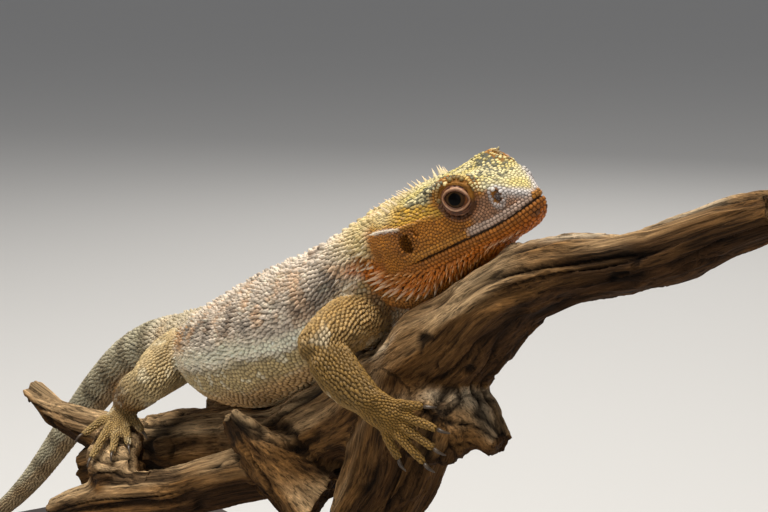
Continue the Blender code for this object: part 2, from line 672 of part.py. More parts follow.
# Each limb of the wood: places from HEAD_ORIGIN with radii, in mm
WOOD_SIDES = 12
WOOD_STEP, KNOT_HEIGHT = 18.0, 0.55
WOOD = {
    "trunk": [
        ((126.0, 7.0, 16.0), 6.2),
        ((105.0, 7.0, 9.6), 8.6),
        ((93.0, 6.5, 3.6), 9.0),
        ((80.0, 5.0, -2.0), 8.8),
        ((65.0, 3.0, -5.0), 9.8),
        ((50.0, 1.5, -8.0), 10.5),
        ((33.0, 0.5, -17.0), 12.5),
        ((15.0, -1.0, -32.6), 14.6),
        ((-2.0, -2.0, -46.0), 17.6),
        ((-28.0, -3.0, -62.0), 18.0),
        ((-65.0, -1.0, -81.0), 18.0),
        ((-105.0, -1.0, -92.0), 16.5),
        ((-145.0, -8.0, -101.0), 15.0),
        ((-172.0, -14.0, -110.0), 13.0),
        ((-190.0, -19.0, -117.0), 10.5),
    ],
    "stub": [((6.0, -4.0, -48.0), 13.0), ((22.0, -2.0, -53.0), 8.0), ((32.0, -1.0, -60.0), 4.6)],
    "root": [((-4.0, -4.0, -56.0), 17.0), ((-16.0, -7.0, -84.0), 14.5), ((-27.0, -7.0, -112.0), 12.0)],
    "knob": [
        ((-40.0, -12.0, -92.0), 15.0),
        ((-52.0, -22.0, -83.0), 10.0),
        ((-61.0, -28.0, -74.0), 5.2),
        ((-67.0, -31.0, -68.0), 2.4),
    ],
    "spur": [
        ((-62.0, -20.0, -86.0), 11.0),
        ((-95.0, -33.0, -99.0), 9.5),
        ((-125.0, -42.0, -107.0), 8.5),
        ((-158.0, -50.0, -121.0), 7.0),
    ],
    "snag": [
        ((-150.0, -13.0, -103.0), 12.0),
        ((-172.0, -24.0, -99.0), 8.0),
        ((-194.0, -31.0, -96.0), 6.0),
        ((-214.0, -34.0, -92.0), 4.8),
    ],
}
# Each rod: x and y, and the height of the wood's underside there, from HEAD_ORIGIN
RODS = (("front", (-26.0, -7.0), -112.0), ("rear", (-146.0, -5.0), -114.0))


def knottiness(place):
    """A gentle unevenness of the wood's surface, from -2 to 2."""
    x, y, z = place
    return math.sin(x * 0.21 + y * 0.33) + math.sin(z * 0.29 - x * 0.13)


def wood_limb(places):
    """One tapered, slightly knotty limb of the wood as a bmesh."""
    keys, distance = [], 0.0
    for i, (place, _) in enumerate(places):
        point = HEAD_ORIGIN + Vector(place)
        distance += (point - keys[-1][1]).length if i else 0.0
        keys.append((distance, point))
    radii = [(d, r) for (d, _), (_, r) in zip(keys, places)]
    count = max(2, round(distance / WOOD_STEP))
    stops = [distance * i / count for i in range(count + 1)]
    points = [along(keys, d) for d in stops]
    thickness = [along(radii, d) for d in stops]
    bm = tube(bmesh.new(), points, thickness, WOOD_SIDES, Vector((0, 0.2, 1)))
    for vert in bm.verts:
        middle = min(points, key=lambda p: (p - vert.co).length)
        vert.co += (vert.co - middle).normalized() * knottiness(vert.co) * KNOT_HEIGHT
    return bm


def build_wood():
    """The driftwood as one solid, pressed by the animal and drilled for the rods."""
    perch = new_object("perch", wood_limb(WOOD["trunk"]), "driftwood")
    for word in list(WOOD)[1:]:
        branch = new_object(f"cutter_wood_{word}", wood_limb(WOOD[word]), "driftwood", hidden=True)
        gather(branch, "branches")
    cut(perch, bpy.data.collections["branches"], "UNION")
    cut(perch, bpy.data.collections["imprint"])
    for word, place, reach in RODS:
        top = reach + ROD_SOCKET_DEPTH + GAP
        cut(perch, rod_at(f"cutter_rod_{word}", place, top, ROD_RADIUS + GAP, hidden=True))


def rod_at(name, place, top, radius, hidden=False):
    """A round rod with a foot, from just above the base up to this height from HEAD_ORIGIN."""
    low = BASE_THICKNESS + GAP
    shoulder = low + ROD_FOOT_HEIGHT
    profile = [(low, ROD_FOOT_RADIUS), (shoulder, ROD_FOOT_RADIUS), (shoulder + 0.8, radius + 0.2)]
    profile += [(shoulder + 1.0, radius), (top + HEAD_ORIGIN.z, radius)]
    centre = HEAD_ORIGIN.xy + Vector(place)
    arms = [Vector((math.cos(math.pi * k / 6), math.sin(math.pi * k / 6))) for k in range(12)]
    rings = [[(centre + arm * r).to_3d() + Vector((0, 0, z)) for arm in arms] for z, r in profile]
    return new_object(name, skin_over(bmesh.new(), rings), "stand_steel", hidden)


def build_stand():
    """The board that everything stands on and the two rods that carry the wood."""
    outline = []
    for corner_x, corner_y, start in ((1, 1, 0), (-1, 1, 90), (-1, -1, 180), (1, -1, 270)):
        for k in range(7):
            angle = math.radians(start + 15 * k)
            x = corner_x * (BASE_LENGTH / 2 - BASE_CORNER) + BASE_CORNER * math.cos(angle)
            y = corner_y * (BASE_WIDTH / 2 - BASE_CORNER) + BASE_CORNER * math.sin(angle)
            outline.append((x, y))
    profile = [(0.0, BASE_EDGE / 2), (BASE_EDGE / 2, 0.0)]
    profile += [(BASE_THICKNESS - BASE_EDGE, 0.0), (BASE_THICKNESS, BASE_EDGE)]
    rings = []
    for z, inset in profile:
        long, wide = 1 - inset * 2 / BASE_LENGTH, 1 - inset * 2 / BASE_WIDTH
        rings.append([Vector((x * long, y * wide, z)) for x, y in outline])
    new_object("stand_base", skin_over(bmesh.new(), rings), "stand_board")
    for word, place, reach in RODS:
        rod_at(f"stand_rod_{word}", place, reach + ROD_SOCKET_DEPTH, ROD_RADIUS)


# ---------------------------------------------------------------------------------------------- build


def clear_scene():
    """Removes what the file opened with."""
    for found in list(bpy.data.objects):
        bpy.data.objects.remove(found, do_unlink=True)


def main():
    """Builds the whole model."""
    clear_scene()
    build_head()
    build_body()
    build_limbs()
    build_wood()
    build_stand()


main()
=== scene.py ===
"""Looks of a bearded dragon on driftwood: skin, scales, spines, eyes, claws, wood and display stand.

Lengths are in millimetres until a mesh is written, when they become metres. The head has a frame of its
own: x forward from the ears, y to the animal's left and z up from the corner of the mouth.
"""

import logging
import math
from dataclasses import dataclass, field
from enum import Enum

import bmesh
import bpy
import numpy as np
from mathutils import Matrix, Vector
from mathutils.bvhtree import BVHTree
from mathutils.kdtree import KDTree
from numpy.linalg import norm


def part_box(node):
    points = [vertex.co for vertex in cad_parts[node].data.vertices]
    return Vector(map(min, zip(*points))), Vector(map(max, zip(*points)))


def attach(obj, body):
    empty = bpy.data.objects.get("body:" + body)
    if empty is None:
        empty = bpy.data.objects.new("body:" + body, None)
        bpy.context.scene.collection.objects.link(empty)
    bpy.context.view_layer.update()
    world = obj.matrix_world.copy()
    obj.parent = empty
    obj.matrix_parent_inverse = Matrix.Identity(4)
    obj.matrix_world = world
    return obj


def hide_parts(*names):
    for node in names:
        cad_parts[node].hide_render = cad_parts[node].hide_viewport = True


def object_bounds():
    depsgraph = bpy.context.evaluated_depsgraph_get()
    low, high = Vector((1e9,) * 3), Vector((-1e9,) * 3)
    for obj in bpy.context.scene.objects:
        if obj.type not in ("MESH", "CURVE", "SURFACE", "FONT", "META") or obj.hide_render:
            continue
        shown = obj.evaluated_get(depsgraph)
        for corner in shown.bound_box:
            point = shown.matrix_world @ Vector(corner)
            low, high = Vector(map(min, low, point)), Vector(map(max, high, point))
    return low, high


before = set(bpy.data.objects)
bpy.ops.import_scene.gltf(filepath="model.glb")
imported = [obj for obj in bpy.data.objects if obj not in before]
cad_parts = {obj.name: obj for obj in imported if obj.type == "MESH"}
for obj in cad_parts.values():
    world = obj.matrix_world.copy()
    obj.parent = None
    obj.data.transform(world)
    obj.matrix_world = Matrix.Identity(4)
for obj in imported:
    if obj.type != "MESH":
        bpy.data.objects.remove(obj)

LOG = logging.getLogger("bearded_dragon")
CAD_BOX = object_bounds()
MM = 0.001
TURN = 2 * math.pi
Array = np.ndarray
Piece = bpy.types.Object
Material = bpy.types.Material
Place = tuple[float, float, float]
ops = bmesh.ops
Socket = bpy.types.NodeSocket
SIDES = (("right", -1.0), ("left", 1.0))


# ---- small maths


def unit(vectors: Array) -> Array:
    """Vectors scaled to length one."""
    return vectors / np.maximum(norm(vectors, axis=-1, keepdims=True), 1e-9)


def ramp(x: Array, low: float, high: float) -> Array:
    """A smooth step from 0 at low to 1 at high; low may be the larger."""
    t = np.clip((x - low) / (high - low), 0, 1)
    return t * t * (3.0 - 2.0 * t)


def hill(distance: Array, width: float) -> Array:
    """A smooth hill of height 1 at distance 0."""
    return np.exp(-((distance / width) ** 2))


def srgb(red: float, green: float, blue: float) -> Array:
    """A screen colour, 0 to 255, as linear light."""
    c = np.array([red, green, blue], float) / 255.0
    return np.where(c <= 0.04045, c / 12.92, ((c + 0.055) / 1.055) ** 2.4)


def packed(values: Array) -> Array:
    """Values in one row, as a mesh stores them."""
    return values.astype(np.float32).ravel()


def blend(under: Array, over: Array, share: Array) -> Array:
    """Colours under covered by over, by a share per row."""
    return under + (over - under) * share[:, None]


def layered(colour: Array, *layers: tuple[Array, Array]) -> Array:
    """Colours with further ones laid over them in turn, each with its share per row."""
    for over, share in layers:
        colour = blend(colour, over, share)
    return colour


def columns(*values: Array) -> Array:
    """Rows of numbers from one array for each column."""
    return np.stack(values, axis=1)


def lengths_along(line: Array) -> Array:
    """How far along a line of points each one lies."""
    return np.concatenate([[0.0], np.cumsum(norm(np.diff(line, axis=0), axis=1))])


def places_along(line: Array, distances: Array) -> Array:
    """The points at some distances along a line."""
    s = lengths_along(line)
    return columns(*(np.interp(distances, s, line[:, k]) for k in range(3)))


def apart(points: Array, place: tuple | Array, size: tuple | Array = (1.0, 1.0, 1.0)) -> Array:
    """Distance of points from a place, in units of its size along each axis."""
    return norm((points - place) / size, axis=1)


def spot(*values: float | tuple) -> Array:
    """A field whose default is a place, or a line of places."""
    return field(default_factory=lambda: np.array(values))


def index_of(points: Array) -> KDTree:
    """A finder of the nearest of some points."""
    tree = KDTree(len(points))
    for i, p in enumerate(points):
        tree.insert(p, i)
    tree.balance()
    return tree


def cloud(points: Array, pitch: float, seed: int) -> Array:
    """Smooth noise from -1 to 1 at points, with lumps about pitch across."""
    p = points / pitch + seed * 17.31
    base = np.floor(p).astype(np.int64)
    f = p - base
    f = f * f * (3.0 - 2.0 * f)
    total = np.zeros(len(points))
    for i in (0, 1):
        for j in (0, 1):
            for k in (0, 1):
                c = base + (i, j, k)
                h = (c[:, 0] * 73856093) ^ (c[:, 1] * 19349663) ^ (c[:, 2] * 83492791) ^ (seed * 26544357)
                h = ((h ^ (h >> 13)) * 1274126177) & 0xFFFFFFFF
                h = (h ^ (h >> 16)) & 0xFFFF
                w = np.ones(len(points))
                for axis, on in enumerate((i, j, k)):
                    w = w * (f[:, axis] if on else 1.0 - f[:, axis])
                total += w * (h / 65535.0)
    return total * 2.0 - 1.0


def polyline_distance(points: Array, corners: Array) -> tuple[Array, Array]:
    """Distance of points from a polyline, and the share of its length at the nearest place."""
    best = np.full(len(points), 1e9)
    where = np.zeros(len(points))
    starts = lengths_along(corners)
    for a, b, start, length in zip(corners[:-1], corners[1:], starts, norm(np.diff(corners, axis=0), axis=1)):
        t = np.clip(((points - a) @ (b - a)) / max(length, 1e-9) ** 2, 0, 1)
        d = norm(points - a - t[:, None] * (b - a), axis=1)
        nearer = d < best
        best = np.where(nearer, d, best)
        where = np.where(nearer, (start + t * length) / starts[-1], where)
    return best, where


# ---- meshes


def points_of(mesh: bpy.types.Mesh) -> Array:
    """A mesh's points, in mm."""
    points = np.empty(len(mesh.vertices) * 3, np.float32)
    mesh.vertices.foreach_get("co", points)
    return points.reshape(-1, 3).astype(float) / MM


def loops_of(mesh: bpy.types.Mesh) -> Array:
    """The point at each corner of a mesh's faces."""
    corners = np.empty(len(mesh.loops), np.int32)
    mesh.loops.foreach_get("vertex_index", corners)
    return corners


def soup(node: str) -> tuple[Array, Array]:
    """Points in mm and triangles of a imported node."""
    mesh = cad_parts[node].data
    mesh.calc_loop_triangles()
    faces = np.empty(len(mesh.loop_triangles) * 3, np.int32)
    mesh.loop_triangles.foreach_get("vertices", faces)
    return points_of(mesh), faces.reshape(-1, 3)


def placed(name: str, data: bpy.types.ID) -> Piece:
    """A new object in the scene."""
    made = bpy.data.objects.new(name, data)
    bpy.context.scene.collection.objects.link(made)
    return made


def write_mesh(name: str, points: Array, faces: list[Array]) -> Piece:
    """A smooth piece from points in mm and arrays of faces, one array for each number of corners."""
    mesh = bpy.data.meshes.new(name)
    mesh.vertices.add(len(points))
    mesh.vertices.foreach_set("co", packed(points * MM))
    corners = np.concatenate([f.ravel() for f in faces]).astype(np.int32)
    counts = np.concatenate([np.full(len(f), f.shape[1]) for f in faces])
    mesh.loops.add(len(corners))
    mesh.loops.foreach_set("vertex_index", corners)
    mesh.polygons.add(len(counts))
    starts = np.concatenate([[0], np.cumsum(counts)[:-1]]).astype(np.int32)
    mesh.polygons.foreach_set("loop_start", starts)
    mesh.polygons.foreach_set("use_smooth", np.ones(len(counts), bool))
    mesh.update(calc_edges=True)
    mesh.validate()
    return placed(name, mesh)


def from_bmesh(name: str, bm: bmesh.types.BMesh, smooth: bool = True) -> Piece:
    """A piece from a bmesh that is already in metres."""
    mesh = bpy.data.meshes.new(name)
    bm.to_mesh(mesh)
    bm.free()
    mesh.polygons.foreach_set("use_smooth", [smooth] * len(mesh.polygons))
    return placed(name, mesh)


def set_tint(piece: Piece, colours: Array) -> None:
    """Stores a linear colour for each point of a piece."""
    layer = piece.data.attributes.new("tint", "FLOAT_COLOR", "POINT")
    rgba = np.concatenate([np.clip(colours, 0, 1), np.ones((len(colours), 1))], axis=1)
    layer.data.foreach_set("color", packed(rgba))


def set_grain(piece: Piece, places: Array) -> None:
    """Stores the place in the wood's grain for each point of a piece."""
    layer = piece.data.attributes.new("grain", "FLOAT_VECTOR", "POINT")
    layer.data.foreach_set("vector", packed(places))


def thinned(piece: Piece, share: float, fine: Array) -> Array:
    """Thins a piece's mesh away from its fine places.

    Args:
        piece: the piece.
        share: how much of its faces stays.
        fine: from 0 to 1 at each of its points where its faces stay as they are.

    Returns:
        The piece's new points, in mm.
    """
    group = piece.vertex_groups.new(name="thin")
    group.add(np.flatnonzero(fine < 0.5).tolist(), 1.0, "REPLACE")
    thin = piece.modifiers.new("thin", "DECIMATE")
    thin.ratio = share
    thin.vertex_group = group.name
    thin.vertex_group_factor = 10.0
    mesh = bpy.data.meshes.new_from_object(piece.evaluated_get(bpy.context.evaluated_depsgraph_get()))
    piece.modifiers.clear()
    piece.vertex_groups.clear()
    piece.data = mesh
    return points_of(mesh)


def fused(swell: dict[str, float], voxel: float) -> tuple[Array, Array]:
    """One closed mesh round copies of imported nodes.

    Args:
        swell: the nodes that are joined, and how far each copy grows first, in mm, so that neighbours meet.
        voxel: size of the new mesh's faces, in mm.

    Returns:
        Points in mm, and faces of four corners.
    """
    joined = bmesh.new()
    for name, growth in swell.items():
        part = bmesh.new()
        part.from_mesh(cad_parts[name].data)
        ops.remove_doubles(part, verts=part.verts, dist=1e-6)
        part.normal_update()
        for vert in part.verts:
            vert.co += vert.normal * growth * MM
        step = bpy.data.meshes.new("step")
        part.to_mesh(step)
        part.free()
        joined.from_mesh(step)
        bpy.data.meshes.remove(step)
    helper = from_bmesh("helper", joined)
    remesh = helper.modifiers.new("fuse", "REMESH")
    remesh.mode = "VOXEL"
    remesh.voxel_size = voxel * MM
    made = bpy.data.meshes.new_from_object(helper.evaluated_get(bpy.context.evaluated_depsgraph_get()))
    bpy.data.objects.remove(helper)
    return points_of(made), loops_of(made).reshape(-1, 4)


def turned(outline: list[tuple[float, float]], steps: int) -> bmesh.types.BMesh:
    """A round shape from its outline: pairs of a distance from the upright axis and a height."""
    bm = bmesh.new()
    verts = [bm.verts.new((r, 0.0, z)) for r, z in outline]
    geometry = verts + [bm.edges.new(pair) for pair in zip(verts, verts[1:])]
    ops.spin(bm, geom=geometry, cent=(0, 0, 0), axis=(0, 0, 1), angle=TURN, steps=steps, use_merge=True)
    return bm


def ringed_faces(count: int, rings: int, corners: int) -> list[Array]:
    """Faces of many shapes that are each some rings of points and a tip, closed at the first ring.

    Args:
        count: how many shapes there are.
        rings: how many rings each has.
        corners: how many points a ring has.

    Returns:
        Faces of four and of three corners.
    """
    base = (np.arange(count) * (rings * corners + 1))[:, None, None]
    k = np.arange(corners)
    after = (k + 1) % corners
    band = columns(k, after, corners + after, corners + k)
    quads = np.concatenate([band + ring * corners for ring in range(rings - 1)])
    last = (rings - 1) * corners
    cap = columns(last + k, last + after, np.full(corners, rings * corners))
    floor = columns(np.zeros(corners - 2, int), np.arange(2, corners), np.arange(1, corners - 1))
    return [(quads + base).reshape(-1, 4), (np.concatenate([cap, floor]) + base).reshape(-1, 3)]


class Net:
    """Edges of a face list, for smoothing and spreading values over it."""

    def __init__(self, faces: list[Array], count: int) -> None:
        """Finds each edge once.

        Args:
            faces: arrays of faces, one for each number of corners.
            count: how many points the mesh has.
        """
        ends = []
        for f in faces:
            ends.append(columns(f.ravel(), np.roll(f, -1, axis=1).ravel()))
        ends = np.sort(np.concatenate(ends), axis=1).astype(np.int64)
        keys = np.unique(ends[:, 0] * count + ends[:, 1])
        self.a, self.b, self.count = keys // count, keys % count, count
        self.degree = np.maximum(np.bincount(np.concatenate([self.a, self.b]), minlength=count), 1)

    def mean(self, values: Array) -> Array:
        """The mean of each point's neighbours."""
        flat = values.reshape(self.count, -1)
        out = np.empty_like(flat, dtype=float)
        for c in range(flat.shape[1]):
            v = flat[:, c]
            total = np.bincount(self.a, v[self.b], self.count) + np.bincount(self.b, v[self.a], self.count)
            out[:, c] = total / self.degree
        return out.reshape(values.shape)

    def spread(self, values: Array, rounds: int) -> Array:
        """Values diffused over the mesh."""
        for _ in range(rounds):
            values = 0.5 * values + 0.5 * self.mean(values)
        return values

    def relax(self, points: Array, weight: Array, rounds: int) -> Array:
        """Points smoothed without shrinking, more where weight is near 1."""
        w = weight[:, None]
        for _ in range(rounds):
            points = points + 0.55 * w * (self.mean(points) - points)
            points = points - 0.57 * w * (self.mean(points) - points)
        return points


def normals_of(points: Array, faces: list[Array]) -> Array:
    """A normal for each point."""
    total = np.zeros_like(points)
    for f in faces:
        across = points[f[:, 2]] - points[f[:, 0]]
        if f.shape[1] == 4:
            n = np.cross(across, points[f[:, 3]] - points[f[:, 1]])
        else:
            n = np.cross(points[f[:, 1]] - points[f[:, 0]], across)
        for c in range(f.shape[1]):
            for axis in range(3):
                total[:, axis] += np.bincount(f[:, c], n[:, axis], len(points))
    return unit(total)


# ---- finishes


class Graph:
    """Short ways to make shader nodes in one material."""

    def __init__(self, name: str) -> None:
        """Starts a material with a Principled shader."""
        self.material = bpy.data.materials.new(name)
        self.material.use_nodes = True
        self.tree = self.material.node_tree
        self.shader = self.tree.nodes["Principled BSDF"]

    def node(self, kind: str, inputs: dict | None = None, **settings: object) -> bpy.types.Node:
        """A node with its settings and its inputs, which are values or other sockets."""
        made = self.tree.nodes.new(kind)
        for key, value in settings.items():
            setattr(made, key, value)
        for key, value in (inputs or {}).items():
            self.feed(made.inputs[key], value)
        return made

    def feed(self, socket: Socket, value: object) -> None:
        """Links another socket to this one, or sets its value."""
        if isinstance(value, Socket):
            self.tree.links.new(value, socket)
        else:
            socket.default_value = value

    def place(self) -> Socket:
        """Object coordinates."""
        return self.node("ShaderNodeTexCoord").outputs["Object"]

    def attribute(self, name: str, output: str = "Color") -> Socket:
        """A value stored on the piece's own points."""
        return self.node("ShaderNodeAttribute", attribute_name=name).outputs[output]

    def noise(self, scale: float, detail: float = 3.0, vector: Socket | None = None) -> Socket:
        """Noise from 0 to 1."""
        values = {"Scale": scale, "Detail": detail, "Roughness": 0.6, "Vector": vector or self.place()}
        return self.node("ShaderNodeTexNoise", values).outputs["Fac"]

    def steps(self, value: Socket, stops: list[tuple[float, tuple]]) -> Socket:
        """A colour ramp; each stop is a place and a linear colour."""
        made = self.node("ShaderNodeValToRGB", {"Fac": value})
        ramp_of = made.color_ramp
        while len(ramp_of.elements) < len(stops):
            ramp_of.elements.new(0.5)
        for element, (where, colour) in zip(ramp_of.elements, stops):
            element.position = where
            element.color = (*colour, 1.0)
        return made.outputs["Color"]

    def span(self, value: Socket, low: float, high: float, start: float = 0.0, end: float = 1.0) -> Socket:
        """A value that runs from start to end, stretched to run from low to high."""
        values = {"Value": value, "From Min": start, "From Max": end, "To Min": low, "To Max": high}
        return self.node("ShaderNodeMapRange", values).outputs["Result"]

    def math(self, operation: str, a: object, b: object) -> Socket:
        """One sum of two values."""
        return self.node("ShaderNodeMath", {0: a, 1: b}, operation=operation).outputs[0]

    def scaled(self, colour: Socket, by: Socket) -> Socket:
        """A colour made brighter or darker by a value."""
        return self.node("ShaderNodeVectorMath", {0: colour, "Scale": by}, operation="SCALE").outputs[0]

    def bump(self, height: Socket, depth: float, below: Socket | None = None) -> Socket:
        """A bumped normal, depth in mm."""
        values = {"Height": height, "Strength": 1.0, "Distance": depth * MM}
        if below is not None:
            values["Normal"] = below
        return self.node("ShaderNodeBump", values).outputs["Normal"]

    def finish(self, **inputs: object) -> Material:
        """Sets the shader's inputs, by name with _ for a space, and gives the material."""
        for key, value in inputs.items():
            self.feed(self.shader.inputs[key.replace("_", " ")], value)
        return self.material


@dataclass(frozen=True)
class ScaleFinish:
    """Dry keratin over a painted hide: the tint comes from the piece, mottled and finely wrinkled."""

    name: str = "scales"
    roughness: tuple[float, float] = (0.42, 0.66)
    wrinkle: float = 0.05
    specular: float = 0.42

    def build(self) -> Material:
        """The material."""
        g = Graph(self.name)
        mottle = g.span(g.noise(1400, 4), 0.80, 1.20)
        colour = g.scaled(g.attribute("tint"), mottle)
        fine = g.noise(5200, 2)
        return g.finish(
            Base_Color=colour,
            Roughness=g.span(g.noise(900, 3), *self.roughness),
            Specular_IOR_Level=self.specular,
            Normal=g.bump(fine, self.wrinkle),
        )


class EyeFinish:
    """A wet eyeball: the iris and pupil are painted on it, under a clear coat."""

    def build(self) -> Material:
        """The material."""
        g = Graph("eyeball")
        fibre = g.span(g.noise(2600, 5), 0.72, 1.28)
        return g.finish(
            Base_Color=g.scaled(g.attribute("tint"), fibre),
            Roughness=0.45,
            Coat_Weight=0.10,
            Coat_Roughness=0.03,
            Specular_IOR_Level=0.02,
        )


class ClawFinish:
    """Horn: dark brown with fine lighter streaks."""

    def build(self) -> Material:
        """The material."""
        g = Graph("claw_horn")
        streak = g.noise(700, 3)
        colour = g.steps(streak, [(0.3, (0.030, 0.020, 0.014)), (0.7, (0.110, 0.075, 0.045))])
        return g.finish(Base_Color=colour, Roughness=g.span(streak, 0.24, 0.42), Normal=g.bump(streak, 0.05))


class DriftwoodFinish:
    """Weathered wood: the piece's tint, grey and tan on top and brown in the grooves, carries painted light
    and shade; the grain runs along each limb, and its thin dark crack lines are painted shade.
    """

    def build(self) -> Material:
        """The material."""
        g = Graph("driftwood")
        grain = g.attribute("grain", "Vector")
        tint = g.attribute("tint")
        broad = g.noise(110, 5, grain)
        fine = g.noise(620, 5, grain)
        hair = g.noise(2100, 3, grain)
        pores = g.noise(1500, 2)
        shade = g.math("MULTIPLY", g.span(broad, 0.20, 1.80), g.span(fine, 0.05, 1.95))
        shade = g.math("MULTIPLY", shade, g.span(hair, 0.35, 1.65))
        fibre = g.noise(1150, 8, grain)
        # Where the fibre noise is high the bump sinks it and it is painted dark: painted shade in thin
        # cracks; where it is low it is raised and painted paler: pale fibres, partly painted light.
        for low, high, shade_there in ((0.545, 0.585, 0.42), (0.44, 0.40, 1.45)):
            shade = g.math("MULTIPLY", shade, g.span(fibre, 1, shade_there, low, high))
        height = g.math("ADD", fine, g.math("MULTIPLY", hair, 0.35))
        height = g.math("SUBTRACT", height, g.math("MULTIPLY", fibre, 0.8))
        return g.finish(
            Base_Color=g.scaled(tint, shade),
            Roughness=g.span(fine, 0.78, 0.98),
            Specular_IOR_Level=0.12,
            Normal=g.bump(pores, 0.12, g.bump(height, 1.6)),
        )


class BoardFinish:
    """A dark stained hardwood board under a satin varnish."""

    def build(self) -> Material:
        """The material."""
        g = Graph("stand_board")
        stretched = g.node("ShaderNodeMapping", {"Vector": g.place(), "Scale": (0.07, 1.0, 1.0)}).outputs[0]
        broad = g.noise(60, 6, stretched)
        pores = g.noise(900, 3, stretched)
        colour = g.steps(
            g.math("ADD", g.math("MULTIPLY", broad, 0.75), g.math("MULTIPLY", pores, 0.25)),
            [(0.30, (0.020, 0.012, 0.008)), (0.52, (0.052, 0.030, 0.018)), (0.75, (0.090, 0.054, 0.032))],
        )
        return g.finish(
            Base_Color=colour,
            Roughness=g.span(pores, 0.30, 0.46),
            Coat_Weight=0.35,
            Coat_Roughness=0.22,
            Normal=g.bump(pores, 0.06),
        )


class SteelFinish:
    """Brushed steel rods."""

    def build(self) -> Material:
        """The material."""
        g = Graph("stand_steel")
        flat = g.node("ShaderNodeMapping", {"Vector": g.place(), "Scale": (1.0, 1.0, 40.0)}).outputs[0]
        brushed = g.noise(120, 3, flat)
        return g.finish(
            Base_Color=g.steps(brushed, [(0.2, (0.34, 0.34, 0.35)), (0.8, (0.50, 0.50, 0.51))]),
            Metallic=1.0,
            Roughness=g.span(brushed, 0.24, 0.40),
            Normal=g.bump(brushed, 0.01),
        )


@dataclass(frozen=True)
class FloorFinish:
    """A plain pale studio floor."""

    colour: Place = (0.70, 0.69, 0.67)

    def build(self) -> Material:
        """The material."""
        g = Graph("studio_floor")
        tone = g.span(g.noise(3, 2), 0.985, 1)
        plain = g.steps(tone, [(0.0, self.colour), (1.0, self.colour)])
        return g.finish(Base_Color=g.scaled(plain, tone), Roughness=0.85)


# ---- the animal's frames


@dataclass(frozen=True)
class HeadFrame:
    """The head's own axes: x forward, y left, z up, from the corner of the mouth."""

    origin: Array
    turn: Array

    EYE = np.array([21.7, 8.0, 12.4])

    @classmethod
    def from_nodes(cls) -> "HeadFrame":
        """Reads the frame from both eyes and from the flat face where the head meets the neck."""
        eyes = [sum(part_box(f"eye_{word}"), Vector()) / 2 / MM for word, _ in SIDES]
        right, left = (np.array(e) for e in eyes)
        points, faces = soup("head")
        a, b, c = (points[faces[:, k]] for k in range(3))
        areas = np.cross(b - a, c - a)
        size, normal = norm(areas, axis=1), unit(areas)
        across = unit(left - right)
        rearward = normal @ unit(soup("neck")[0].mean(0) - points.mean(0)) > 0.7
        flat = [(size * (normal @ n > 0.9999)).sum() for n in normal[rearward]]
        forward = -normal[rearward][int(np.argmax(flat))]
        forward = unit(forward - across * (forward @ across))
        turn = columns(forward, across, np.cross(forward, across))
        middle = (left + right) / 2
        return cls(middle - turn @ (cls.EYE * (1, 0, 1)), turn)

    def local(self, points: Array) -> Array:
        """Points of the row frame, in mm, as the head sees them."""
        return (points - self.origin) @ self.turn

    def world(self, points: Array) -> Array:
        """Head points in the row frame."""
        return points @ self.turn.T + self.origin


@dataclass
class Course:
    """A bent line down the middle of a length of the body, from the head end outwards."""

    points: Array
    lean: tuple[float, float] = (0.0, 0.0)
    up: Array = field(init=False)
    tangent: Array = field(init=False)
    distance: Array = field(init=False)

    STEP = 2.0
    BLOCK = 20000

    def __post_init__(self) -> None:
        """Resamples the line evenly and smooths it."""
        length = lengths_along(self.points)[-1]
        even = np.linspace(0, length, max(4, int(length / self.STEP)))
        p = places_along(self.points, even)
        for _ in range(12):
            p[1:-1] = 0.25 * p[:-2] + 0.5 * p[1:-1] + 0.25 * p[2:]
        self.points, self.distance = p, even
        self.tangent = unit(np.gradient(p, axis=0))
        left = unit(np.cross((0.0, 0.0, 1.0), -self.tangent))
        up = unit(np.cross(-self.tangent, left))
        roll = np.radians(np.linspace(*self.lean, len(p)))[:, None]
        self.up = up * np.cos(roll) - left * np.sin(roll)

    def locate(self, points: Array) -> tuple[Array, Array, Array]:
        """For points: the distance along, the angle from the top (radians, left positive) and the tangent."""
        nearest = np.zeros(len(points), int)
        for low in range(0, len(points), self.BLOCK):
            gaps = ((points[low : low + self.BLOCK, None] - self.points[None]) ** 2).sum(2)
            nearest[low : low + self.BLOCK] = gaps.argmin(1)
        tangent = self.tangent[nearest]
        left, up = self.offsets(points, nearest, tangent)
        s = self.distance[nearest] + ((points - self.points[nearest]) * tangent).sum(1)
        return s, np.arctan2(left, up), tangent

    def offsets(self, points: Array, at: Array, tangent: Array) -> tuple[Array, Array]:
        """How far points lie to the left of and above the line's own points at some indices."""
        offset, up = points - self.points[at], self.up[at]
        return (offset * np.cross(up, -tangent)).sum(1), (offset * up).sum(1)


class Part(Enum):
    """The named regions of the hide."""

    HEAD, NECK, TRUNK, TAIL = range(4)
    ARM_RIGHT, ARM_LEFT, LEG_RIGHT, LEG_LEFT = range(4, 8)
    HAND_RIGHT, HAND_LEFT, FOOT_RIGHT, FOOT_LEFT = range(8, 12)


LIMBS = tuple(
    (
        *(Part[f"{word}_{side}".upper()] for word in (limb, paw)),
        *(f"{word}_{side}" for word in (upper, lower, paw)),
    )
    for limb, upper, lower, paw in (("arm", "upper_arm", "forearm", "hand"), ("leg", "thigh", "shin", "foot"))
    for side, _ in SIDES
)
ARMS, LEGS, HANDS, FEET = (list(Part)[k : k + 2] for k in (4, 6, 8, 10))
TAIL_NODES = [f"tail_{k}" for k in range(1, 5)]
PART_NODES = {Part.HEAD: ["head", "jaw"], Part.NECK: ["neck"], Part.TRUNK: ["trunk"], Part.TAIL: TAIL_NODES}
PART_NODES |= {limb: [upper, lower] for limb, _, upper, lower, _ in LIMBS}
PART_NODES |= {paw: [end] for _, paw, _, _, end in LIMBS}
FLESH = [name for names in PART_NODES.values() for name in names]


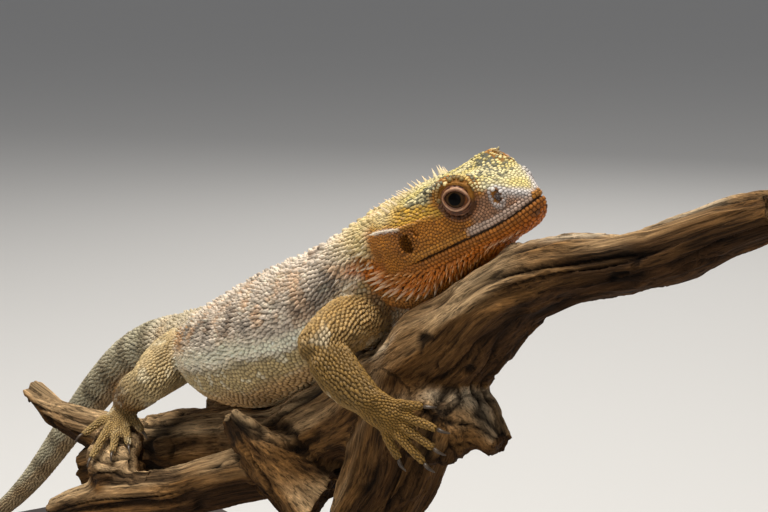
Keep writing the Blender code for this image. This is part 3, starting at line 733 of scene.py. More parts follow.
def middle_of(node: str) -> Array:
    """The middle of a node's box, in mm."""
    low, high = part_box(node)
    return np.array((low + high) / 2) / MM


def meeting(one: str, other: str, reach: float = 2.5) -> Array:
    """The middle of where two neighbouring nodes face each other."""
    points, _ = soup(one)
    far, faces = soup(other)
    tree = BVHTree.FromPolygons(far.tolist(), faces.tolist())
    near = [p for p in points if (tree.find_nearest(Vector(p), reach) or (None,))[0] is not None]
    return np.mean(near, axis=0) if near else (middle_of(one) + middle_of(other)) / 2


def slices(node: str, start: Array, end: Array, count: int) -> list[Array]:
    """Middles of a node's points in even slices from start to end."""
    points, _ = soup(node)
    chord = unit(end - start)
    t = (points - start) @ chord
    edges = np.linspace(0, norm(end - start), count + 1)
    found = []
    for low, high in zip(edges[:-1], edges[1:]):
        inside = points[(t >= low) & (t < high)]
        if len(inside) > 8:
            found.append((inside.max(0) + inside.min(0)) / 2)
    return found


class Anatomy:
    """Where everything is: the head's frame and the middle lines of body and limbs."""

    def __init__(self) -> None:
        """Reads the frame's nodes."""
        self.head = HeadFrame.from_nodes()
        self.ears = self.head.world(np.array([0.0, 0.0, 6.0]))
        chain = ["head", "neck", "trunk", *TAIL_NODES]
        joints = [meeting(a, b, 1.0) for a, b in zip(chain[1:], chain[:-1])]
        tail, _ = soup("tail_4")
        tip = tail[np.argmax(norm(tail - joints[-1], axis=1))]
        ends = [*joints, tip]
        line = [ends[0]]
        for node, a, b in zip(chain[1:], ends[:-1], ends[1:]):
            if node == "trunk":
                line += slices(node, a, b, 5)[1:-1]
            line.append(b)
        self.body = Course(np.array(line), lean=(16.0, 0.0))
        self.shoulder_s = self.body.locate(joints[1][None])[0][0]
        self.vent_s = self.body.locate(joints[2][None])[0][0]
        self.limbs = {}
        self.digits = {}
        for limb, paw, upper, lower, end in LIMBS:
            hip = meeting(upper, "trunk") if "thigh" in upper else middle_of(upper)
            knee, wrist, palm = meeting(lower, upper), meeting(end, lower), middle_of(end)
            claws = [middle_of(f"claw_{end}_{k}") for k in range(1, 6)]
            self.limbs[limb] = Course(np.array([hip, knee, wrist, 0.5 * (wrist + palm)]))
            self.digits[paw] = (wrist, claws)


# ---- the hide


def folded(local: Array) -> Array:
    """Head points with both sides folded to the left."""
    return local * (1, 0, 1) + np.abs(local) * (0, 1, 0)


@dataclass
class Spots:
    """Places on the hide with all that its markings need."""

    place: Array
    normal: Array
    local: Array
    weights: Array
    s: Array
    angle: Array
    limb_s: Array
    limb_angle: Array
    flow: Array
    pitch: Array

    def pick(self, index: Array, place: Array | None = None, head: HeadFrame | None = None) -> "Spots":
        """The same facts for some of the places, or for new places next to those."""
        rows = {k: v[index] for k, v in self.__dict__.items()}
        if place is not None:
            rows["place"] = place
            rows["local"] = head.local(place)
        return Spots(**rows)

    @property
    def folded(self) -> Array:
        """The places in the head's frame, folded to the left."""
        return folded(self.local)

    def share(self, *parts: Part) -> Array:
        """How far each place belongs to these parts, from 0 to 1."""
        return self.weights[:, [p.value for p in parts]].sum(1)


@dataclass(frozen=True)
class MouthLine:
    """Where the lips meet, in the head's frame."""

    corner: float = 5.0
    snout: float = 42.0
    rise: float = 5.7
    drop: float = 1.0
    hook: float = 1.6
    hook_x: float = 30.0

    def height(self, x: Array) -> Array:
        """Height of the line at x."""
        last = np.maximum(x - self.hook_x, 0) / (self.snout - self.hook_x)
        return self.rise * (x - self.corner) / (self.snout - self.corner) - self.drop + self.hook * last**1.5


@dataclass
class HeadForm:
    """What the skin of the head adds to the solid: ridges, hollows, mouth, nostrils and ears."""

    mouth: MouthLine = field(default_factory=MouthLine)
    eye: Array = spot(21.7, 8, 12.4)
    gaze: Array = field(default_factory=lambda: unit(np.array([0.48, 0.86, 0.17])))
    nostril: Array = spot(34, 7.1, 10.5)
    nostril_size: Array = spot(0.95, 1, 1.45)
    ear: Array = spot(4, 17.3, 4.5)
    ear_size: Array = spot(2.3, 9, 3.1)
    canthus: Array = spot(
        (41.4, 0.4, 7.4), (38.9, 3.3, 9.4), (36.4, 5.4, 11), (34.2, 6.5, 12), (32, 7.4, 12.6)
    )
    brow: Array = spot((32, 7.6, 13.6), (28, 10.2, 16.4), (24, 11.9, 18), (20, 12.4, 18.6), (15, 12.4, 17.8))
    temple: Array = spot(
        (14.8, 13.8, 10), (10.8, 14.9, 9.8), (6.8, 16.1, 9.7),
        (2.6, 17.3, 9.2), (-1.9, 17.4, 9.4), (-7.6, 16.7, 9.1),
    )
    dark_stripe: Array = spot((16.5, 12.9, 15.6), (10.4, 13, 15), (4.3, 13, 14), (0.5, 13.4, 13.2))
    lid_edge: float = 5.25

    def from_eye(self, p: Array) -> tuple[Array, Array]:
        """Distance from the eye's axis, and distance along it."""
        to_eye = p - self.eye
        along = to_eye @ self.gaze
        return norm(to_eye - along[:, None] * self.gaze, axis=1), along

    def relief(self, local: Array) -> Array:
        """How far the skin is raised along its normal, in mm."""
        p = folded(local)
        x, y, z = p.T
        canthus, _ = polyline_distance(p, self.canthus)
        temple, _ = polyline_distance(p, self.temple)
        off_axis, along = self.from_eye(p)
        beside_eye = ramp(along, 0.5, 2.5)
        lips, nose = self.lip_offset(p), self.from_nostril(p)
        along_mouth = ramp(x, 2, 7)
        low_side = ramp(z, 9.6, 8) * ramp(x, -6, 0)
        out = 0.35 * hill(canthus, 0.8) + 0.30 * hill(temple, 0.6)
        out -= 0.55 * hill(apart(p, (30, 8.8, 8.6), (1.7, 1, 1)), 2.2)
        out -= 0.50 * hill(apart(p, (7, 17, 6.6), (2, 1.5, 1)), 2.2) * ramp(y, 3, 6)
        out += 0.30 * hill(off_axis - 6.5, 0.7) * beside_eye * ramp(z, 10, 14)
        out -= 0.55 * hill(off_axis - self.lid_edge, 0.45) * beside_eye
        out += 0.28 * hill(np.abs(lips) - 1.2, 0.8) * along_mouth * low_side
        out -= (0.55 + 0.45 * ramp(x, 22, 16)) * hill(lips, 0.34) * along_mouth * low_side
        out -= 2.4 * self.ear_depth(p)
        out += 2.4 * hill(apart(p, (-14, 14, -10), (1.2, 1.6, 1.2)), 4.2)
        out += 2.2 * hill(apart(p, (-5, 9, -14.6), (2.2, 1.6, 1)), 3.6)
        out += 0.45 * hill(nose - 1.7, 0.55)
        out -= 1.7 * ramp(nose, 1.35, 0.6)
        return out

    def from_nostril(self, p: Array) -> Array:
        """Distance from the nostril's middle, as if the opening were round."""
        return apart(p, self.nostril, self.nostril_size)

    def lip_offset(self, p: Array) -> Array:
        """Height above the line where the lips meet."""
        return p[:, 2] - self.mouth.height(p[:, 0])

    def ear_depth(self, p: Array) -> Array:
        """From 0 outside to 1 in the middle of the ear opening."""
        return ramp(apart(p, self.ear, self.ear_size), 1, 0.60)

    def lid_zone(self, p: Array) -> Array:
        """From 0 outside to 1 under the eyelids."""
        off_axis, along = self.from_eye(p)
        return ramp(off_axis, self.lid_edge + 0.1, self.lid_edge - 0.3) * (along > 0)


def beard_way(p: Array) -> Array:
    """The way that the beard's spines point, at head points: they fan out from the lips' middle."""
    return unit(columns(np.minimum(p[:, 0] - 13.0, -3), np.zeros(len(p)), np.minimum(p[:, 2] + 1.0, -0.5)))


class Hide:
    """The one skin over all the flesh, and the facts that scales and markings need at each of its points."""

    SWELL = 0.35
    PAW_SWELL = 0.15
    VOXEL = 0.72
    SMOOTHING = {Part.TRUNK: 1.0, Part.NECK: 1.0, Part.HEAD: 0.60, Part.TAIL: 0.5}

    def __init__(self, anatomy: Anatomy, form: HeadForm) -> None:
        """Fuses the flesh, smooths it, takes off the coat's depth and shapes the head."""
        self.anatomy, self.form = anatomy, form
        paws = [end for *_, end in LIMBS]
        points, quads = fused({n: self.PAW_SWELL if n in paws else self.SWELL for n in FLESH}, self.VOXEL)
        net = Net([quads], len(points))
        weights = net.spread(np.eye(len(Part))[self.from_solids(points)[0]], 10)
        limb, paw = weights[:, 4:8].sum(1), weights[:, 8:].sum(1)
        strength = sum(weights[:, p.value] * v for p, v in self.SMOOTHING.items()) + 0.6 * limb + 0.16 * paw
        points = net.relax(points, np.clip(strength, 0, 1), 16)
        depth = 0.32 * weights[:, 0] + 0.50 * weights[:, 1:4].sum(1) + 0.42 * limb + 0.22 * paw
        for rounds in (10, 5):
            _, inside = self.from_solids(points)
            normal = normals_of(points, [quads])
            points = points + normal * net.spread(np.clip(inside, -1.2, 1.6), rounds)[:, None]
        points = points - normals_of(points, [quads]) * depth[:, None]
        points, quads, tris, weights = self.refine_head(points, quads, weights)
        self.faces = [quads, tris] if len(tris) else [quads]
        self.net = Net(self.faces, len(points))
        points = self.net.relax(points, 0.5 * (weights[:, 0] > 0.35), 3)
        local = anatomy.head.local(points)
        near_head = np.clip(weights[:, 0] + weights[:, 1] * ramp(local[:, 0], -19, -15), 0, 1)
        raised = form.relief(local) * ramp(near_head, 0.3, 0.8)
        points = points + normals_of(points, self.faces) * raised[:, None]
        self.points, self.weights = points, weights
        self.normal = normals_of(points, self.faces)
        self.spots = self.survey()
        self.tree = BVHTree.FromPolygons(points.tolist(), [f.tolist() for g in self.faces for f in g])
        self.index = index_of(points)

    def from_solids(self, points: Array) -> tuple[Array, Array]:
        """The number of the part whose solid is nearest to each point, and how far inside it the point is."""
        corners, faces, owner, base = [], [], [], 0
        for part, names in PART_NODES.items():
            for name in names:
                p, f = soup(name)
                corners.append(p)
                faces.append(f + base)
                owner += [part.value] * len(f)
                base += len(p)
        tree = BVHTree.FromPolygons(np.concatenate(corners).tolist(), np.concatenate(faces).tolist())
        hits = [tree.find_nearest(Vector(p)) for p in points]
        place, way = np.array([h[0] for h in hits]), np.array([h[1] for h in hits])
        return np.array([owner[h[2]] for h in hits]), ((place - points) * way).sum(1)

    def refine_head(self, points: Array, quads: Array, weights: Array) -> tuple[Array, Array, Array, Array]:
        """Halves the faces of the head, so that the lips and lids come out crisp.

        Args:
            points: the skin's points in mm.
            quads: its faces.
            weights: the share of each part at each point.

        Returns:
            New points, faces of four and of three corners, and the weights.
        """
        local = self.anatomy.head.local(points)
        fine = (weights[:, 0] > 0.6) & (local[:, 0] > -3)
        bm = bmesh.new()
        verts = [bm.verts.new(p) for p in points]
        for q in quads:
            bm.faces.new([verts[i] for i in q])
        bm.verts.index_update()
        chosen = [e for e in bm.edges if all(fine[v.index] for v in e.verts)]
        ops.subdivide_edges(bm, edges=chosen, cuts=1, use_grid_fill=True)
        ops.triangulate(bm, faces=[f for f in bm.faces if len(f.verts) > 4])
        bm.verts.index_update()
        made = np.array([v.co for v in bm.verts])
        faces = [[v.index for v in f.verts] for f in bm.faces]
        four, three = (np.array([f for f in faces if len(f) == n], int).reshape(-1, n) for n in (4, 3))
        bm.free()
        finder = index_of(points)
        return made, four, three, weights[[finder.find(p)[1] for p in made]]

    def survey(self) -> Spots:
        """Distances, angles, the lie of the scales and their size at every point of the skin."""
        points, weights = self.points, self.weights
        local = self.anatomy.head.local(points)
        s, angle, tangent = self.anatomy.body.locate(points)
        flow = tangent.copy()
        limb_s, limb_angle = np.zeros(len(points)), np.zeros(len(points))
        for part, paw, *_ in LIMBS:
            mine = weights[:, part.value] + weights[:, paw.value] > 0.5
            limb_s[mine], limb_angle[mine], flow[mine] = self.anatomy.limbs[part].locate(points[mine])
            mine = weights[:, paw.value] > 0.5
            wrist, claws = self.anatomy.digits[paw]
            gaps = np.stack([polyline_distance(points[mine], np.array([wrist, c]))[0] for c in claws])
            flow[mine] = unit(np.array(claws) - wrist)[gaps.argmin(0)]
        head = weights[:, 0] > 0.5
        flow[head] = self.head_flow(local[head])
        flow = unit(self.net.spread(flow, 8))
        flow = unit(flow - (flow * self.normal).sum(1, keepdims=True) * self.normal)
        pitch = self.net.spread(self.scale_pitch(local, s, angle, weights, limb_s), 4)
        return Spots(points, self.normal, local, weights, s, angle, limb_s, limb_angle, flow, pitch)

    def head_flow(self, local: Array) -> Array:
        """The way that scales point on the head: back over the crown, back and down over the beard."""
        side = np.sign(local[:, 1])
        back = columns(-np.ones(len(local)), 0.25 * side, np.zeros(len(local)))
        fan = beard_way(folded(local)) * (1, 0, 1) + 0.25 * side[:, None] * (0, 1, 0)
        beard = ramp(local[:, 2] - self.form.mouth.height(local[:, 0]), 0.5, -3)
        return unit(blend(back, unit(fan), beard)) @ self.anatomy.head.turn.T

    def scale_pitch(self, local: Array, s: Array, angle: Array, weights: Array, limb_s: Array) -> Array:
        """The distance between neighbouring scales, in mm."""
        p = folded(local)
        x, _, z = p.T
        lips = self.form.lip_offset(p)
        upper_lip = (lips > 1.8) & (z < 11) & (x > 25)
        zones = ((z > 12.5, 1.30), ((x > 28) & (z > 8), 1.15), ((lips > 0) & (z < 10.5), 0.98))
        zones += ((upper_lip, 0.85), (lips < -2, 1.35), (lips < -4, 1.55), (lips < -9, 1.15))
        head = np.full(len(local), 1.20)
        for zone, size in zones:
            head[zone] = size
        trunk = 1.62 + 0.30 * ramp(np.abs(angle), 1.9, 2.4)
        tail = 1.9 - np.clip((s - self.anatomy.vent_s) / 200.0, 0, 1)
        pitch = weights[:, 0] * head + weights[:, 1] * 1.5 + weights[:, 2] * trunk + weights[:, 3] * tail
        limb = 1.42 - 0.20 * np.clip(limb_s / 60.0, 0, 1)
        return pitch + weights[:, 4:8].sum(1) * limb + weights[:, 8:].sum(1) * 0.92

    def onto(self, points: Array) -> tuple[Array, Array, Array]:
        """The nearest places on the skin, their normals, and the skin's nearest points."""
        hits = [self.tree.find_nearest(Vector(p)) for p in points]
        place = np.array([h[0] for h in hits])
        near = np.array([self.index.find(p)[1] for p in place])
        return place, self.normal[near], near


# ---- markings


@dataclass(frozen=True)
class Markings:
    """The animal's colours: yellow head, orange beard, grey-brown back, pale fringe, olive flanks."""

    form: HeadForm
    vent_s: float

    CROWN = srgb(222, 202, 128)
    CROWN_PALE = srgb(236, 228, 196)
    CROWN_SPOT = srgb(84, 84, 66)
    BROW = srgb(190, 126, 38)
    TEMPLE = srgb(214, 166, 62)
    OLIVE = srgb(112, 98, 52)
    SNOUT = srgb(160, 116, 84)
    CANTHUS = srgb(222, 214, 208)
    CHEEK = srgb(184, 116, 28)
    CHEEK_DARK = srgb(142, 84, 20)
    LIP_PALE = srgb(196, 168, 148)
    LIP_GOLD = srgb(184, 122, 40)
    JAW_GOLD = srgb(178, 108, 32)
    BEARD = srgb(204, 116, 28)
    BEARD_TIP = srgb(238, 166, 78)
    POUCH = srgb(196, 132, 62)
    LID = srgb(140, 88, 50)
    NAPE = srgb(218, 194, 138)
    NECK_ORANGE = srgb(222, 140, 80)
    BACK = srgb(236, 218, 196)
    BLOTCH = srgb(112, 102, 92)
    TAN = srgb(232, 196, 160)
    FRINGE = srgb(246, 240, 214)
    FLANK = srgb(190, 166, 116)
    FLANK_LOW = srgb(186, 148, 98)
    BELLY = srgb(214, 190, 148)
    HIP = srgb(206, 190, 154)
    HIP_ORANGE = srgb(206, 150, 84)
    TAIL = srgb(196, 186, 156)
    TAIL_BAND = srgb(140, 126, 98)
    LEG = srgb(190, 166, 120)
    SHIN = srgb(124, 90, 44)
    FOOT = srgb(168, 138, 84)
    ARM = srgb(178, 144, 88)
    FOREARM = srgb(138, 106, 50)
    HAND = srgb(144, 108, 44)
    DARK = srgb(44, 30, 18)
    STRIPE = srgb(84, 66, 30)
    CHIN_SPOT = srgb(72, 58, 40)
    CROWN_SKIN = srgb(84, 88, 84)
    BEARD_SKIN = srgb(34, 20, 12)
    EAR_RIM, EAR_DEEP = srgb(80, 38, 16), srgb(16, 6, 4)
    NOSE_DEEP = srgb(18, 9, 6)

    def head_share(self, at: Spots) -> Array:
        """How far a place wears the head's colours: all of the head, and the beard's rear on the neck."""
        p = at.local
        jowl = ramp(p[:, 0], -20.5, -17.5) * ramp(p[:, 2] + 0.45 * (p[:, 0] + 14.0), 3.5, 0.5)
        return np.clip(at.share(Part.HEAD) + at.share(Part.NECK) * jowl, 0, 1)

    def beard_share(self, at: Spots) -> Array:
        """From 0 to 1 where the beard's spiny scales stand, below the lips and above the pouch."""
        p = at.folded
        lips = self.form.lip_offset(p)
        start = ramp(lips + 0.13 * (p[:, 0] - 5.0), -2.2, -4.6)
        return self.head_share(at) * start * (1.0 - self.pouch_share(at)) * ramp(p[:, 0], -19, -15)

    def pouch_share(self, at: Spots) -> Array:
        """From 0 to 1 over the smooth throat."""
        p = at.folded
        edge = np.interp(p[:, 0], [-18, -8, 0, 8, 20, 36], [-5.5, -9.2, -11.2, -11.6, -8.6, -2.8])
        return ramp(p[:, 2], edge + 0.4, edge - 0.8) * self.head_share(at)

    def head(self, at: Spots) -> Array:
        """Colours of the head and beard."""
        p = at.folded
        x, y, z = p.T
        lips = self.form.lip_offset(p)
        coarse, fine = cloud(at.place, 4, 3), cloud(at.place, 1.3, 4)
        off, along = self.form.from_eye(p)
        beside_eye = along > 0.5
        edge, _ = polyline_distance(p, self.form.brow)
        stripe, _ = polyline_distance(p, self.form.dark_stripe)
        canthus, _ = polyline_distance(p, self.form.canthus)
        temple, where = polyline_distance(p, self.form.temple)
        olive = ramp(cloud(at.place, 1.8, 15), 0.15, 0.5) * ramp(z, 10.5, 12) * ramp(x, 19, 15) * (y > 6)
        edge_height = np.interp(x, self.form.canthus[::-1, 0], self.form.canthus[::-1, 2])
        ahead = ramp(x, 28, 31)
        top = ramp(z + 0.3 * coarse, 13.2, 14.4) * (1.0 - ahead) + ramp(z - edge_height, 0.1, 0.7) * ahead
        band = hill(off - 6.9, 1.6) * ramp(z, 11, 13) * beside_eye * ramp(y, 6.5, 8.5)
        lip_top = 2.5 - 0.7 * ramp(x, 34, 41)
        on_lip = ramp(lips, -0.2, 0.1) * ramp(lips - lip_top, 0.3, -0.1) * ramp(x, 2, 6)
        chin_spot = hill(np.hypot((x - 40.6) / 1.3, lips + 2.9), 1) * (y > 1.2)
        jaw = blend(self.JAW_GOLD, self.BEARD, ramp(lips + 0.6 * coarse, -1.8, -4.4))
        colour = layered(
            self.CHEEK,
            (self.CHEEK_DARK, ramp(coarse + 0.5 * fine, 0, 0.9)),
            (self.CHEEK_DARK, 0.7 * hill(apart(p, (3.5, 17, 5)), 5)),
            (self.TEMPLE, ramp(z + 0.8 * coarse, 8.6, 11) * ramp(x, 27, 20)),
            (self.OLIVE, 0.55 * olive),
            (self.SNOUT, ramp(x + 0.5 * coarse + 0.35 * (z - 6.0), 24, 27) * ramp(z, 13.6, 12.2)),
            (self.CROWN, top),
            (self.CROWN_PALE, 0.45 * top * ramp(cloud(at.place, 5, 9), -0.3, 0.5)),
            (self.NAPE, ramp(x, 3, -5) * ramp(z, 9, 12)),
            (self.BROW, band * ramp(edge, 0.8, 2)),
            (self.CROWN_PALE, 0.55 * hill(edge, 0.9) * (y > 3)),
            (self.STRIPE, 0.75 * hill(stripe, 0.75) * ramp(cloud(at.place, 1.6, 41), -0.3, 0.2)),
            (self.LID, ramp(off, 7.2, 5.6) * ramp(z, 15, 12) * beside_eye),
            # Pale along the canthus ridge: partly its own colour, partly a painted highlight on the ridge.
            (self.CANTHUS, 0.95 * hill(canthus, 1.5) * ramp(x, 31.5, 34.5)),
            (self.CANTHUS * 0.8, 0.8 * hill(self.form.from_nostril(p) - 1.9, 0.6)),
            (blend(self.BROW, self.CANTHUS, ramp(where, 0.45, 0.65)), 0.80 * hill(temple, 0.55)),
            (blend(self.LIP_GOLD, self.LIP_PALE, ramp(x, 22, 24)), on_lip),
            (self.LIP_GOLD, ramp(x, 40.3, 41.3) * ramp(y, 3, 1.5) * (lips > 0)),
            (blend(jaw, self.CHIN_SPOT, 0.85 * chin_spot), ramp(lips, 0.1, -0.3) * ramp(x, -20, -6)),
            (self.BEARD, ramp(x, -6, -12) * ramp(z, 2, -2)),
            (self.POUCH, self.pouch_share(at)),
        )
        return colour * (1.0 + 0.10 * fine[:, None])

    def fringe_angle(self, s: Array) -> Array:
        """Angle from the top, in degrees, at which the pale fringe runs."""
        return 88.0 + 20.0 * ramp(s, 74, 34) - 22.0 * ramp(s, 34, 12)

    def body(self, at: Spots) -> Array:
        """Colours of neck, trunk and tail."""
        turn = np.degrees(np.abs(at.angle))
        below = turn - self.fringe_angle(at.s)
        behind_hips = at.s - self.vent_s
        slow, mid, fine = (cloud(at.place, w, k) for w, k in ((14.0, 5), (5.5, 6), (2.0, 7)))
        pairs = np.cos(at.s * TURN / 22.0 + 0.9 * slow)
        blotch = ramp(pairs + 0.8 * mid, 0.25, 0.9) * hill(turn - 24.0 - 5.0 * slow, 13)
        low = ramp(cloud(at.place, 6, 36) + 0.5 * fine, -0.1, 0.45) * hill(below + 24.0, 15)
        net = ramp(np.abs(cloud(at.place, 5, 31)), 0.18, 0.02) * ramp(below, 6, 12)
        fringe = np.clip(1.15 * hill(below + 2.0 * mid, 6.5), 0, 1) * ramp(at.s, 14, 26)
        front = hill(behind_hips + 42.0, 24) * hill(turn - 62.0, 26)
        tail = layered(
            self.TAIL,
            (self.TAIL_BAND, ramp(np.sin(at.s / 17.0 * TURN + mid), 0, 0.8) * 0.7),
            (self.FLANK_LOW, 0.6 * ramp(turn, 105, 135)),
        )
        orange = apart(at.folded, (-20.5, 19.6, 0.2), (1.3, 2, 1))
        chest = blend(self.BELLY, self.HIP_ORANGE, ramp(mid, -0.2, 0.4))
        colour = layered(
            self.BACK,
            (self.TAN, ramp(mid + 0.6 * fine, 0.05, 0.6) * 0.85),
            (self.BLOTCH, np.clip(0.75 * blotch + 0.80 * low, 0, 0.85)),
            (self.FRINGE, 0.30 * ramp(cloud(at.place, 2.4, 37), 0.35, 0.7) * ramp(below, 0, -8)),
            (self.FLANK, ramp(below + 3.0 * mid, 5, 9)),
            (self.FRINGE, 0.55 * net),
            (self.FLANK_LOW, ramp(below + 5.0 * mid, 20, 38)),
            (self.BELLY, ramp(below, 50, 68)),
            # A dark line just below the pale fringe: painted shadow under the fringe's spines.
            (self.DARK, 0.45 * hill(below - 8.5 + 2.0 * fine, 2.2) * ramp(at.s, 30, 44)),
            (self.FRINGE, fringe),
            (self.HIP, 0.75 * hill(behind_hips + 12.0, 30) * ramp(turn, 140, 110)),
            (self.HIP_ORANGE, 0.75 * front * ramp(mid + 0.5 * fine, -0.3, 0.4)),
            (tail, ramp(behind_hips, 0, 14)),
            (blend(self.NAPE, self.TAN, ramp(mid, 0, 0.6) * 0.5), ramp(at.s, 24, 6) * ramp(turn, 112, 80)),
            (self.NECK_ORANGE, hill(orange, 1.9)),
            (chest, ramp(at.s, 34, 20) * ramp(turn, 108, 125)),
        )
        return colour * (1.0 + 0.10 * fine[:, None])

    def limbs(self, at: Spots) -> Array:
        """Colours of arms, legs, hands and feet."""
        fine, mid = cloud(at.place, 2, 11), cloud(at.place, 6, 12)
        # Darker towards the forearm and the shin: partly their own brown, partly painted shade on the lower
        # limbs.
        arm = blend(self.ARM, self.FOREARM, ramp(at.limb_s, 6, 16))
        leg = blend(self.LEG, self.SHIN, ramp(at.limb_s + 2 * mid, 15, 25))
        shares = [at.share(*parts) for parts in (ARMS, LEGS, HANDS, FEET)]
        total = sum(shares) + 1e-9
        colour = sum(c * (w / total)[:, None] for c, w in zip((arm, leg, self.HAND, self.FOOT), shares))
        colour = layered(
            colour,
            (self.FOREARM * 0.8, 0.45 * ramp(np.abs(cloud(at.place, 4, 38)), 0.2, 0) * shares[0]),
            (self.FRINGE, 0.30 * ramp(mid + 0.4 * fine, 0.2, 0.7) * (1.0 - shares[2])),
        )
        return colour * (1.0 + 0.10 * fine[:, None])

    def paint(self, at: Spots) -> Array:
        """Colours of the tops of the scales at these places."""
        head = self.head_share(at)
        limb = 1.0 - at.share(Part.HEAD) - at.share(Part.NECK, Part.TRUNK, Part.TAIL)
        body = np.maximum(1.0 - head - limb, 0)
        shares = ((self.head, head), (self.body, body), (self.limbs, limb))
        return np.clip(sum(colours(at) * share[:, None] for colours, share in shares), 0, 1)

    def ground(self, at: Spots) -> Array:
        """Colours of the skin between the scales, mostly painted shade: a darker copy of the scales' colours
        in the gaps, and dark in the beard, the mouth's line, the ear and the nostrils; the crown's grey skin
        is its own colour.
        """
        p = at.folded
        x, y, z = p.T
        head = self.head_share(at)
        off, along = self.form.from_eye(p)
        nose = self.form.from_nostril(p)
        beside_eye = along > 0.5
        crown = ramp(z, 13.5, 15.5) * head * np.where(beside_eye, ramp(off, 7.5, 9), 1.0)
        mouth = hill(self.form.lip_offset(p), 0.34) * ramp(x, 3, 6) * ramp(y, -1, 0.5) * ramp(z, 9, 6.5)
        bare = self.BROW * (0.50 + 0.2 * cloud(at.place, 0.8, 42))[:, None]
        return layered(
            # The scales' own colour at 0.40: painted shade in the gaps between them.
            self.paint(at) * 0.40,
            (self.CROWN_SKIN, 0.8 * crown),
            # Near black between the beard's spines: painted shade in the gaps under them.
            (self.BEARD_SKIN, 0.85 * self.beard_share(at)),
            # Dark along the line where the lips meet: painted shade in the mouth's crease.
            (self.DARK, mouth * head),
            # Dark brown in the ear, near black towards its front: painted shade in the pit.
            (blend(self.EAR_RIM, self.EAR_DEEP, ramp(x, 1.6, 2.8)), self.form.ear_depth(p) * head),
            (bare, ramp(off, 8.6, 7) * beside_eye * ramp(z, 10.5, 12.5) * head),
            (self.SNOUT * 0.9, ramp(nose, 2, 1.6) * head),
            # Near black in the nostril, orange on its rear wall: painted shade in the hole.
            (blend(self.NOSE_DEEP, self.BROW, ramp(x, 34, 33.2)), ramp(nose, 1.45, 1.15) * head),
        )


# ---- coat


@dataclass(frozen=True)
class Unwrap:
    """A flat plan of the hide: each part has its own rectangle, along it one way and round it the other."""

    anatomy: Anatomy

    def at(self, spots: Spots) -> Array:
        """Where each place lies on the plan."""
        part = spots.weights.argmax(1)
        vent = self.anatomy.vent_s
        round_head = np.arctan2(spots.local[:, 1], spots.local[:, 2] - 3.0)
        body = (part == Part.NECK.value) | (part == Part.TRUNK.value)
        tail_s = (spots.s - vent) / 230.0
        areas = [
            (part == Part.HEAD.value, 0.02, 0.34, (spots.local[:, 0] + 16.0) / 60.0, 0.56, 0.40, round_head),
            (body, 0.02, 0.60, spots.s / (vent + 6.0), 0.04, 0.46, spots.angle),
            (part == Part.TAIL.value, 0.40, 0.56, tail_s, 0.78, 0.18, spots.angle),
        ]
        for k, (limb, paw, *_) in enumerate(LIMBS):
            mine = (part == limb.value) | (part == paw.value)
            areas.append((mine, 0.66, 0.30, spots.limb_s / 90.0, 0.04 + 0.17 * k, 0.14, spots.limb_angle))
        plan = np.zeros((len(part), 2))
        for mine, left, wide, along, low, tall, turn in areas:
            plan[mine, 0] = left + wide * np.clip(along[mine], 0, 1)
            plan[mine, 1] = low + tall * (turn[mine] / TURN + 0.5)
        return plan


@dataclass
class ScaleStyle:
    """How a set of scales is shaped, each value one for each scale or the same for all."""

    height: Array
    overlap: Array
    lift: Array
    keel: Array
    point: Array


